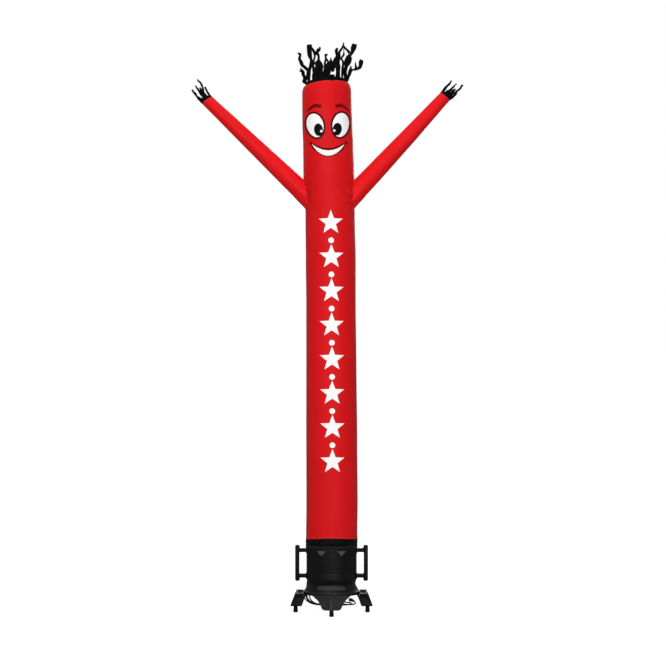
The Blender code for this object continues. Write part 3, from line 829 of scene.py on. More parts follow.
@dataclass(frozen=True)
class Pucker:
    """Small folds that fan out round a sleeve's root, at an angle in degrees about the axis and a height."""

    angle: float
    height: float
    wide: float = 0.060
    high: float = 0.084
    depth: float = 0.0075
    folds: float = 3.6  # how many fan out, about
    fade: float = 0.42  # how soon they die away
    seed: float = 3.0

    def at(self, angle: float, height: float, radius: float) -> float:
        """How much the folds move the cloth outwards at a spot.

        Args:
            angle: the spot's direction.
            height: its height.
            radius: the tube's radius there.

        Returns:
            The move in metres.
        """
        x = math.remainder(angle - math.radians(self.angle), TAU) * radius / self.wide
        z = (height - self.height) / self.high
        off = math.hypot(x, z)
        if off > 3.2 or off < 0.3:
            return 0.0
        fan = noise_at(x / off * self.folds, z / off * self.folds, self.seed + 0.5 * off)
        under = 1.0 if z < 0 else 0.6
        return self.depth * under * fan * math.exp(-max(0.0, off - 1.0) / self.fade)


@dataclass
class Tube:
    """The figure's body: one tube of red nylon up to the rim of its open top."""

    sections: tuple[Section, ...] = (
        Section(0.4300, 0.1522, 0.0010), Section(0.6500, 0.1523, 0.0028), Section(1.0000, 0.1510, 0.0012),
        Section(1.4500, 0.1490, -0.0012), Section(1.8000, 0.1464, -0.0037),
        Section(2.1000, 0.1478, -0.0052), Section(2.3500, 0.1464, -0.0086),
        Section(2.6200, 0.1503, -0.0166), Section(2.7600, 0.1486, -0.0196),
        Section(2.9000, 0.1480, -0.0252), Section(3.0200, 0.1462, -0.0276),
        Section(3.0750, 0.1455, -0.0284),
    )
    creases: tuple[Crease, ...] = (
        Crease((192, 2.396), (219, 2.470), 0.012, 0.0080),
        Crease((186, 2.404), (226, 2.424), 0.012, 0.0040),
        Crease((204, 2.470), (222, 2.520), 0.010, 0.0030),
        Crease((347, 2.424), (305, 2.470), 0.012, 0.0080),
        Crease((352, 2.402), (316, 2.418), 0.012, 0.0038),
        Crease((338, 2.462), (322, 2.514), 0.010, 0.0028),
        Crease((164, 2.410), (130, 2.466), 0.011, 0.0070), Crease((14, 2.412), (52, 2.466), 0.011, 0.0070),
        Crease((172, 2.400), (138, 2.414), 0.012, 0.0036), Crease((8, 2.400), (42, 2.414), 0.012, 0.0036),
        Crease((206, 2.560), (230, 2.592), 0.012, 0.0026),
        Crease((334, 2.560), (310, 2.592), 0.012, 0.0026),
    )
    puckers: tuple[Pucker, ...] = (Pucker(180, 2.486, seed=3.0), Pucker(0, 2.483, seed=8.0))
    folded: Pair = (2.20, 2.78)  # the heights between which the folds and puckers lie
    rim_radius: float = 0.1250
    rim_shift: float = -0.0290
    head_top: float = 3.1235
    rim_tilt: float = 0.0095
    rim_bow: float = 0.0100
    hem: float = 0.4335
    hem_bow: float = 0.0130
    gather: float = 0.0024
    gather_reach: float = 0.035
    rim_gather: float = 0.0016
    waviness: float = 0.0007
    crinkle: float = 0.0004
    first_ring: float = 0.4550
    gathered_below: float = 0.56
    near_arms: Pair = (2.30, 2.66)
    hem_step: float = 0.008  # from ring to ring
    arm_step: float = 0.0075
    plain_step: float = 0.020
    last_step: float = 0.006
    middle: float = 1.5  # a height on the plain part
    girth: float = TAU * 0.15
    thickness: float = 0.0009
    columns: int = 144
    shoulder_rows: int = 14
    surface: BVHTree | None = field(default=None, repr=False)

    def hem_height(self, angle: float) -> float:
        """The height of the seam between the tube and its cuff in this direction."""
        return self.hem + self.hem_bow * math.sin(angle) ** 2

    def rim_height(self, angle: float) -> float:
        """The height of the open top's edge in this direction."""
        return self.head_top + self.rim_tilt * math.cos(angle) + self.rim_bow * math.sin(angle) ** 2

    def size_at(self, height: float) -> Pair:
        """The tube at one height.

        Args:
            height: the height.

        Returns:
            Its radius and its middle's x.
        """
        low, high = self.sections[0], self.sections[1]
        for low, high in zip(self.sections, self.sections[1:]):
            if height <= high.height:
                break
        share = eased((height - low.height) / (high.height - low.height))
        return between(low.radius, high.radius, share), AXIS_X + between(low.shift, high.shift, share)

    def relief(self, angle: float, height: float) -> float:
        """How far the cloth stands off its plain shape: folds, gathers and a little unevenness.

        Args:
            angle: the spot's direction.
            height: its height.

        Returns:
            The move outwards in metres.
        """
        radius = self.size_at(height)[0]
        off = 0.0
        if self.folded[0] < height < self.folded[1]:
            off = sum(fold.at(angle, height, radius) for fold in (*self.creases, *self.puckers))
        crinkle = self.crinkle * ring_noise(angle, 4.0, height * 5.0)
        off += self.waviness * ring_noise(angle, 1.6, height * 2.2) + crinkle
        above = max(0.0, height - self.hem_height(angle))
        gathers = ring_noise(angle, 7.0, 4.0) + 0.6 * ring_noise(angle, 15.0, 7.0)
        return off + self.gather * gathers * math.exp(-above / self.gather_reach)

    def point(self, angle: float, height: float, out: float = 0.0) -> Vector:
        """The spot of the tube's outer face, below the head's rounding, or this far off it."""
        radius, middle = self.size_at(height)
        return upright(radius + (out + self.relief(angle, height)), angle, height, middle)

    def shoulder(self, angle: float, share: float) -> Vector:
        """The spot of the head's rounding.

        Args:
            angle: its direction.
            share: from 0 on the tube to 1 on the rim.

        Returns:
            The spot.
        """
        last = self.sections[-1]
        turn = share * TAU / 4
        radius = last.radius + (self.rim_radius - last.radius) * (1 - math.cos(turn))
        height = between(last.height, self.rim_height(angle), math.sin(turn))
        gather = self.rim_gather * ring_noise(angle, 9, 2) * math.sin(math.pi * (0.15 + 0.85 * share))
        radius += gather + self.relief(angle, last.height) * (1 - share)
        return upright(radius, angle, height, AXIS_X + between(last.shift, self.rim_shift, share))

    def heights(self) -> list[float]:
        """The heights of the rings above the hem, closer where the cloth is gathered or folded.

        Returns:
            The heights.
        """
        made, height, top = [], self.first_ring, self.sections[-1].height
        low, high = self.near_arms
        while height < top - self.last_step:
            made.append(height)
            beside = self.arm_step if low < height < high else self.plain_step
            height += self.hem_step if height < self.gathered_below else beside
        return [*made, top]

    def build(self, sleeves: Sequence["Sleeve"]) -> Object:
        """Builds the tube, one sheet with an opening into each sleeve.

        Args:
            sleeves: what the openings lead to.

        Returns:
            The tube.
        """
        heights = self.heights()
        straight = len(heights)

        def place(column: int, row: int) -> Vector:
            """The spot of the sheet's corner.

            Args:
                column: the corner's column.
                row: its row.

            Returns:
                Its spot.
            """
            angle = column * TAU / self.columns
            if row == 0:
                return self.point(angle, self.hem_height(angle) + GAP)
            if row <= straight:
                return self.point(angle, heights[row - 1])
            return self.shoulder(angle, (row - straight) / self.shoulder_rows)

        bm = gridded(self.columns, straight + self.shoulder_rows, place)
        scaled_uv(bm, self.girth / self.columns)
        outward(bm, Vector((AXIS_X, 0, self.middle)))
        self.surface = BVHTree.FromBMesh(bm)
        made = walled(piece("tube", bm, RED.material(), sharp=60), self.thickness)
        for sleeve in sleeves:
            hole = made.modifiers.new("Opening", "BOOLEAN")
            hole.operation = "DIFFERENCE"
            hole.solver = "EXACT"
            hole.object = sleeve.opening()
        baked(made, 60)
        for sleeve in sleeves:
            sleeve.forget_opening()
        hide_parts("body_tube")
        return made

    def on_face(self, x: float, height: float, out: float = 0.0) -> Vector:
        """The spot of the tube's front that shows at this x and height from ahead, and a little off it."""
        hit, normal, _, _ = self.surface.ray_cast(Vector((x, -1.0, height)), REARWARD)
        return hit + normal * out


# --- stitching


@dataclass
class Stitching:
    """A row of machine stitches along a line of spots, as one piece."""

    name: str
    finish: Rubber
    length: float = 0.0042
    space: float = 0.0022
    radius: float = 0.00045

    def sew(self, lines: Iterable[Sequence[tuple[Vector, Vector]]]) -> Object:
        """Sews each line.

        Args:
            lines: for each, its spots with the surface's outward direction there, close together.

        Returns:
            The stitches.
        """
        made = bmesh.new()
        size = Matrix.Diagonal((self.length, self.radius * 2, self.radius * 1.6, 1))
        for line in lines:
            travelled, due = 0.0, 0.0
            for (here, up), (on, _) in zip(line, line[1:]):
                travelled += (on - here).length
                if travelled < due:
                    continue
                due = travelled + self.length + self.space
                along = (on - here).normalized()
                across = up.cross(along).normalized()
                turn = Matrix((along, across, along.cross(across))).transposed().to_4x4()
                seat = Matrix.Translation(here + up * self.radius * 0.5) @ turn @ size
                bmesh.ops.create_cube(made, size=1, matrix=seat)
        return piece(self.name, made, self.finish.material(), sharp=80)


# --- the sleeves


class Side(Enum):
    """Which side of the figure, for somebody who faces it."""

    LEFT = "left"
    RIGHT = "right"


@dataclass
class Sleeve:
    """One arm, a tapered sleeve sewn to the tube."""

    side: Side
    root: Vector
    tip: Vector
    slant: float
    tube: Tube
    root_radius: float = 0.0590
    tip_radius: float = 0.0360
    length: float = 0.8
    pucker: float = 0.0052
    gather: float = 0.0016
    unevenness: float = 0.0006
    bow: float = 0.0030
    buckles: tuple[Point, ...] = ((0.0021, 0.055, 0.010), (0.0012, 0.088, 0.012))  # depth, place and width
    seam_radius: float = 0.0017
    thickness: float = 0.0009
    columns: int = 56
    rows: int = 84
    root_between: Pair = (-0.12, 0.12)  # the shares between which the sleeve leaves the tube
    halvings: int = 24
    cutter_ends: Pair = (-0.10, 0.14)
    cutter_inset: float = 0.0035
    cutter: Object | None = field(default=None, repr=False)
    starts: list[float] = field(default_factory=list, repr=False)

    def frame(self) -> tuple[Vector, Vector]:
        """The sleeve's direction, and the one across it that points up."""
        along = (self.tip - self.root).normalized()
        return along, Vector((-along.z, 0, along.x)) if along.x > 0 else Vector((along.z, 0, -along.x))

    def plain(self, angle: float, share: float, inset: float = 0.0) -> Vector:
        """The spot of the plain tapered sleeve.

        Args:
            angle: its direction about the sleeve, from above.
            share: from 0 at the tube to 1 at the hand.
            inset: how far inside the sleeve it is.

        Returns:
            The spot.
        """
        along, across = self.frame()
        radius = between(self.root_radius, self.tip_radius, share) - inset
        around = math.cos(angle) * across + math.sin(angle) * REARWARD
        slanted = -self.slant * radius * math.cos(angle) * max(0.0, share)
        return self.root.lerp(self.tip, share) + radius * around + slanted * along

    def spot(self, angle: float, share: float) -> Vector:
        """The spot of the sleeve's cloth: a little uneven, puckered at its seam and at the hand.

        Args:
            angle: its direction about the sleeve, from above.
            share: from 0 at the tube to 1 at the hand.

        Returns:
            The spot.
        """
        x, y = math.cos(angle), math.sin(angle)
        seed = 11.0 if self.side is Side.LEFT else 23.0
        from_seam = max(0.0, share - (self.starts[0] if self.starts else 0.0)) * self.length
        to_hand = (1 - share) * self.length
        pucker = self.pucker * noise_at(x * 3.4, y * 3.4, seed) * math.exp(-from_seam / 0.040)
        pucker += self.gather * noise_at(x * 6.0, y * 6.0, seed + 3) * math.exp(-to_hand / 0.02)
        uneven = self.unevenness * noise_at(x * 1.8 + seed, y * 1.8, share * 7.0)
        under = max(0.0, -x)
        buckle = sum(deep * math.exp(-(((from_seam - at) / wide) ** 2)) for deep, at, wide in self.buckles)
        bow = self.bow * math.sin(math.pi * share) * under if self.side is Side.RIGHT else 0.0
        return self.plain(angle, share, -pucker - uneven + buckle * under**2 - bow)

    def meets_tube(self, angle: float) -> float:
        """Finds where one side of the sleeve comes out of the tube.

        Args:
            angle: which side, about the sleeve from above.

        Returns:
            The share along the sleeve.
        """
        low, high = self.root_between
        for _ in range(self.halvings):
            middle = (low + high) / 2
            spot = self.plain(angle, middle)
            radius, centre = self.tube.size_at(spot.z)
            radius += self.tube.relief(math.atan2(spot.y, spot.x - centre), spot.z)
            outside = math.hypot(spot.x - centre, spot.y) > radius - 0.0004
            low, high = (low, middle) if outside else (middle, high)
        return high

    def opening(self) -> Object:
        """Makes the shape that opens the tube into this sleeve.

        Returns:
            The shape.
        """

        def place(column: int, row: int) -> Vector:
            """The corner of the opening's shape."""
            return self.plain(column * TAU / self.columns, self.cutter_ends[row], self.cutter_inset)

        bm = capped(gridded(self.columns, 1, place), self.columns)
        self.cutter = in_scene("opening", mesh_of("opening", bm))
        return self.cutter

    def forget_opening(self) -> None:
        """Takes the opening's shape out of the scene."""
        bpy.data.objects.remove(self.cutter)
        self.cutter = None

    def build(self) -> list[Object]:
        """Builds the sleeve, and the rolled seam where it joins the tube.

        Returns:
            The pieces.
        """
        turns = [column * TAU / self.columns for column in range(self.columns + 1)]
        starts = [self.meets_tube(turn) for turn in turns]
        self.starts = [sum(starts) / len(starts)]

        def place(column: int, row: int) -> Vector:
            """The corner of the sleeve's sheet."""
            share = between(starts[column], 1.0, (row / self.rows) ** 1.12)
            return self.spot(turns[column], share)

        bm = gridded(self.columns, self.rows, place)
        scaled_uv(bm, TAU * 0.048 / self.columns, 0.79 / self.rows)
        outward(bm, self.root.lerp(self.tip, 0.5))
        made = piece(f"sleeve_{self.side.value}", bm, LIT_SLEEVE_RED.material(), sharp=60)
        baked(walled(made, self.thickness), 60)
        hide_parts(f"arm_{self.side.value}")
        return [made, self.seam(turns, starts)]

    def seam(self, turns: Sequence[float], starts: Sequence[float]) -> Object:
        """Builds the rolled seam allowance round the sleeve's root.

        Args:
            turns: directions about the sleeve.
            starts: where the sleeve comes out of the tube in each.

        Returns:
            The seam.
        """
        ring = [self.spot(turn, start + 0.0018) for turn, start in zip(turns[:-1], starts)]
        ring.append(ring[0].copy())
        middle = sum(ring[:-1], Vector()) / len(ring[:-1])
        ring = [spot + (spot - middle).normalized() * 0.0002 for spot in ring]
        name = f"sleeve_seam_{self.side.value}"
        made = piece(name, rod(ring, self.seam_radius), LIT_SLEEVE_RED.material(), sharp=70)
        return made


# --- fringes


Knot = tuple[int, int, int]  # across, along and half width, in millimetres


@dataclass(frozen=True)
class Lock:
    """One cut strip of a fringe, as seen from ahead: where it runs, and how wide it is."""

    back: bool
    knots: tuple[Knot, ...]


@dataclass
class Fringe:
    """A band of black cloth with its upper part cut into strips, which the air blows about."""

    name: str
    node: str
    origin: Vector
    along: Vector
    across: Vector
    radius: float
    locks: tuple[Lock, ...]
    foot: Callable[[float], Vector]
    band: float
    fold: float = 0.30
    spread: float = 0.070
    ragged: float = 0.16
    wave: float = 0.0035
    side_turns: Pair = (1.75, 1.35)
    low_root: int = 15  # strips that start below this have one beside them that faces sideways
    thickness: float = 0.0008
    columns: int = 72
    rows: int = 4

    def ribbon(self, lock: Lock, seed: float, turned_by: float = 0.0) -> BMesh:
        """One strip, folded a little down its middle and ragged at its edges.

        Args:
            lock: where the strip runs.
            seed: what its unevenness starts from.
            turned_by: how far its face is turned from straight ahead, in radians.

        Returns:
            The strip.
        """
        root = max(-0.99, min(0.99, lock.knots[0][0] * MM / self.radius))
        ahead = 1 if lock.back else -1
        depth = self.radius * math.sqrt(1 - root * root) * ahead
        lean = -ahead * self.spread * math.sin(turned_by)
        spots, widths = [], []
        for a, b, half in lock.knots:
            rise = b * MM / 0.2
            off = depth * (1 - 0.10 * rise) + lean * rise * rise
            spots.append(self.origin + a * MM * self.across + b * MM * self.along + off * REARWARD)
            widths.append(Vector((half * MM, 0, 0)))
        path, half_widths = smooth_path(spots, 4), smooth_path(widths, 4)
        last = len(path) - 1
        root_side = (REARWARD * -root * ahead + self.across * abs(depth) / self.radius).normalized()
        rows = []
        for i, (spot, half) in enumerate(zip(path, half_widths)):
            share = i / last
            tangent = (path[min(i + 1, last)] - path[max(i - 1, 0)]).normalized()
            sway = 0.9 * noise_at(seed, share * 2.6)
            widened = 1 if turned_by else max(0.72, abs(math.cos(sway)))
            sway += turned_by
            facing = (self.across * math.cos(sway) + REARWARD * math.sin(sway)).normalized()
            side = root_side.lerp(facing, eased(share / 0.22)) if share < 0.22 else facing
            side = (side - side.dot(tangent) * tangent).normalized()
            normal = side.cross(tangent).normalized()
            ragged = 1 + self.ragged * noise_at(seed * 3.1, share * 11.0)
            width = max(0.0012, half.x * 1.10 + 0.0006) * ragged / widened
            wave = self.wave * noise_at(seed * 1.7, share * 5.0, 2.0) * share
            fold = self.fold * width
            rows.append([spot + normal * (wave + fold * (1 - abs(k))) + k * width * side for k in (-1, 0, 1)])
        bm = gridded(2, last, lambda column, row: rows[row][column], closed=False)
        scaled_uv(bm, 0.008, 0.004)
        return bm

    def ring(self) -> BMesh:
        """The uncut band that the strips grow from.

        Returns:
            The band.
        """

        def place(column: int, row: int) -> Vector:
            """The corner of the band's sheet.

            Args:
                column: the corner's column.
                row: its row.

            Returns:
                Its spot.
            """
            angle = column * TAU / self.columns
            lift = 0.0008 * ring_noise(angle, 6, row * 0.4)
            cut = 0.0 if row < self.rows else 0.0030 * ring_noise(angle, 14, 9.0)
            foot = self.foot(angle)
            out = (foot - self.origin).normalized()
            return foot + (self.band * row / self.rows + cut) * self.along + out * lift * row / 2

        bm = gridded(self.columns, self.rows, place)
        scaled_uv(bm, TAU * self.radius / self.columns, self.band / self.rows)
        return outward(bm, self.origin + self.along * self.band / 2)

    def build(self) -> Object:
        """Builds the band and its strips as one piece of cloth.

        Returns:
            The fringe.
        """
        parts = [self.ribbon(lock, 1.7 + 2.3 * number) for number, lock in enumerate(self.locks)]
        for number, lock in enumerate(self.locks):
            if lock.knots[0][1] < self.low_root:
                parts.append(self.ribbon(lock, 4.1 + 1.9 * number, self.side_turns[number % 2]))
        made = piece(self.name, joined(self.ring(), *parts), BLACK.material(), sharp=50)
        baked(walled(made, self.thickness, 0), 50)
        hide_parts(self.node)
        return made


HAIR_LOCKS = (
    Lock(False, ((-124, 2, 11), (-121, 29, 8), (-113, 59, 7), (-111, 82, 8), (-127, 99, 8), (-144, 114, 9),
        (-153, 135, 9), (-161, 151, 8), (-157, 169, 6), (-159, 181, 7), (-171, 186, 5))),
    Lock(True, ((-124, 2, 9), (-134, 22, 8), (-130, 43, 8), (-139, 61, 9), (-140, 77, 9), (-152, 83, 7),
        (-161, 81, 4))),
    Lock(True, ((-122, 2, 6), (-137, 20, 7), (-133, 42, 7), (-141, 69, 8), (-148, 89, 5), (-156, 100, 3))),
    Lock(False, ((-112, 8, 6), (-108, 34, 6), (-105, 62, 5), (-102, 87, 5), (-96, 109, 7), (-92, 128, 7),
        (-92, 144, 7), (-97, 159, 11), (-101, 183, 13), (-102, 210, 13), (-102, 232, 12))),
    Lock(False, ((-79, 12, 8), (-77, 45, 8), (-71, 68, 8), (-77, 92, 6), (-84, 111, 7), (-79, 127, 7),
        (-72, 142, 5), (-69, 162, 5), (-75, 185, 7), (-87, 203, 7), (-97, 214, 5))),
    Lock(False, ((-63, 12, 9), (-67, 48, 9), (-55, 81, 12), (-54, 104, 12), (-50, 124, 9), (-47, 141, 6),
        (-47, 161, 6), (-57, 176, 9), (-53, 190, 6), (-54, 202, 3))),
    Lock(False, ((-63, 162, 6), (-56, 180, 7), (-46, 190, 7), (-41, 201, 6), (-41, 211, 4))),
    Lock(False, ((-40, 12, 9), (-38, 46, 9), (-30, 76, 8), (-29, 99, 8), (-38, 118, 7), (-45, 130, 5),
        (-55, 124, 5), (-69, 113, 5), (-79, 105, 4))),
    Lock(False, ((-16, 12, 9), (-18, 46, 9), (-11, 73, 6), (-11, 98, 5), (-10, 116, 5), (-5, 133, 6),
        (-5, 151, 5), (-6, 162, 6), (6, 166, 4))),
    Lock(False, ((1, 12, 9), (-1, 46, 9), (-3, 73, 9), (3, 92, 10), (13, 108, 8), (23, 125, 6),
        (24, 145, 1))),
    Lock(True, ((-3, 10, 8), (-3, 55, 7), (-3, 95, 7), (1, 128, 6), (8, 146, 5), (4, 158, 5),
        (-3, 170, 3))),
    Lock(False, ((14, 12, 9), (10, 42, 9), (10, 65, 8), (12, 85, 8), (24, 104, 9), (27, 124, 6),
        (23, 148, 1))),
    Lock(False, ((26, 110, 4), (31, 91, 8), (35, 75, 8), (37, 62, 6))),
    Lock(False, ((33, 10, 15), (33, 29, 15), (33, 40, 13), (32, 47, 7))),
    Lock(False, ((61, 12, 10), (63, 42, 10), (65, 67, 9), (64, 90, 11), (60, 112, 11), (61, 135, 9),
        (63, 157, 8), (59, 176, 8), (57, 190, 8), (65, 205, 4))),
    Lock(False, ((60, 155, 5), (52, 140, 8), (45, 122, 9), (44, 100, 9), (42, 84, 6), (38, 70, 6))),
    Lock(False, ((73, 12, 6), (73, 44, 5), (73, 72, 6), (73, 97, 7), (70, 119, 7), (71, 142, 9),
        (71, 165, 9), (76, 183, 6), (89, 202, 5), (98, 220, 5), (101, 240, 1))),
    Lock(False, ((92, 12, 6), (92, 41, 5), (91, 66, 5), (94, 89, 6), (97, 111, 6), (95, 130, 5),
        (86, 144, 5), (92, 156, 5), (101, 167, 5), (101, 185, 2), (102, 203, 2))),
    Lock(False, ((96, 228, 3), (103, 214, 5), (115, 202, 6), (127, 190, 7), (136, 176, 8))),
    Lock(False, ((116, 10, 8), (116, 45, 8), (112, 66, 6), (116, 88, 6), (121, 109, 8), (129, 129, 14),
        (133, 149, 14), (135, 164, 11), (145, 176, 7), (152, 190, 9), (158, 211, 14), (166, 236, 12))),
    Lock(False, ((121, 8, 5), (129, 39, 4), (137, 55, 5), (139, 72, 9), (149, 84, 8), (165, 86, 6),
        (182, 91, 7), (196, 100, 9), (201, 117, 11), (204, 135, 12), (208, 144, 9))),
    Lock(False, ((173, 88, 6), (173, 100, 6), (172, 111, 5), (169, 133, 1))),
    Lock(True, ((118, 6, 6), (125, 35, 6), (133, 65, 7), (138, 87, 8), (142, 100, 5), (143, 109, 5),
        (152, 110, 2))),
    Lock(True, ((112, 8, 8), (110, 50, 7), (108, 87, 8), (112, 115, 6), (112, 139, 7), (118, 158, 8),
        (122, 174, 5))),
    Lock(True, ((-108, 4, 8), (-106, 30, 7), (-104, 62, 7), (-101, 90, 6), (-95, 118, 6), (-96, 140, 5))),
    Lock(True, ((-78, 6, 9), (-76, 40, 9), (-73, 70, 8), (-78, 96, 7), (-83, 120, 5))),
    Lock(True, ((-58, 6, 9), (-60, 40, 9), (-52, 74, 8), (-50, 104, 6), (-48, 128, 5), (-47, 146, 4))),
    Lock(True, ((-36, 6, 9), (-34, 42, 9), (-30, 70, 8), (-31, 96, 6), (-36, 116, 4))),
    Lock(True, ((20, 6, 9), (14, 40, 8), (13, 66, 8), (16, 88, 7), (25, 112, 5), (25, 130, 3))),
    Lock(True, ((40, 4, 10), (38, 24, 10), (36, 38, 7))),
    Lock(True, ((62, 6, 9), (63, 40, 9), (64, 70, 8), (63, 100, 8), (61, 128, 7), (61, 150, 5))),
    Lock(True, ((80, 6, 7), (75, 34, 6), (73, 66, 6), (72, 98, 7), (71, 128, 7), (72, 152, 5),
        (76, 176, 3))),
    Lock(True, ((94, 6, 7), (92, 36, 6), (92, 64, 5), (94, 92, 6), (96, 118, 4))),
    Lock(True, ((-94, 2, 9), (-96, 14, 6), (-100, 26, 3))),
    Lock(True, ((-68, 6, 8), (-66, 30, 7), (-61, 60, 7), (-60, 84, 5))),
    Lock(True, ((-47, 6, 9), (-44, 38, 8), (-41, 66, 7), (-38, 94, 6), (-42, 116, 5), (-48, 134, 4))),
    Lock(True, ((-22, 6, 9), (-20, 36, 9), (-17, 62, 7), (-13, 90, 6), (-12, 118, 5), (-7, 140, 4))),
    Lock(True, ((10, 6, 9), (5, 38, 9), (4, 66, 8), (5, 94, 8), (12, 112, 6))),
    Lock(True, ((30, 6, 8), (28, 20, 8), (30, 34, 5))),
    Lock(True, ((52, 4, 8), (55, 18, 7), (60, 40, 5))),
    Lock(True, ((104, 2, 8), (107, 14, 6), (112, 30, 4))),
)
LEFT_HAND_LOCKS = (
    Lock(False, ((8, 8, 8), (16, 41, 7), (26, 54, 7), (33, 62, 5), (42, 81, 5), (46, 95, 5), (45, 111, 4),
        (50, 119, 3))),
    Lock(False, ((-2, 8, 8), (1, 45, 7), (4, 61, 6), (8, 79, 5), (10, 93, 4), (15, 103, 3))),
    Lock(True, ((1, 6, 8), (8, 42, 8), (15, 58, 8), (21, 71, 5), (24, 85, 4))),
    Lock(False, ((30, 4, 7), (34, 24, 5), (40, 41, 5), (47, 60, 4))),
    Lock(False, ((-28, 4, 9), (-27, 37, 8), (-26, 58, 5), (-22, 71, 7), (-22, 87, 5), (-18, 103, 4))),
    Lock(True, ((-16, 6, 7), (-15, 24, 6), (-17, 38, 4))),
)
RIGHT_HAND_LOCKS = (
    Lock(False, ((29, 6, 9), (32, 37, 7), (32, 54, 5), (31, 68, 6), (33, 79, 4), (35, 93, 3))),
    Lock(False, ((0, 8, 8), (2, 36, 7), (2, 55, 5), (1, 74, 5), (2, 84, 3), (0, 97, 3))),
    Lock(True, ((-13, 6, 7), (-13, 50, 7), (-11, 62, 7), (-15, 77, 4))),
    Lock(False, ((-13, 8, 7), (-22, 34, 4), (-32, 52, 8), (-30, 63, 6), (-34, 81, 5), (-34, 96, 5),
        (-30, 108, 5), (-34, 117, 4))),
    Lock(False, ((-33, 4, 8), (-36, 34, 6), (-36, 49, 7), (-36, 61, 4))),
    Lock(True, ((-24, 6, 6), (-20, 45, 4), (-9, 53, 5), (-1, 56, 4))),
    Lock(True, ((16, 6, 7), (14, 24, 6), (15, 40, 4))),
)


# --- prints


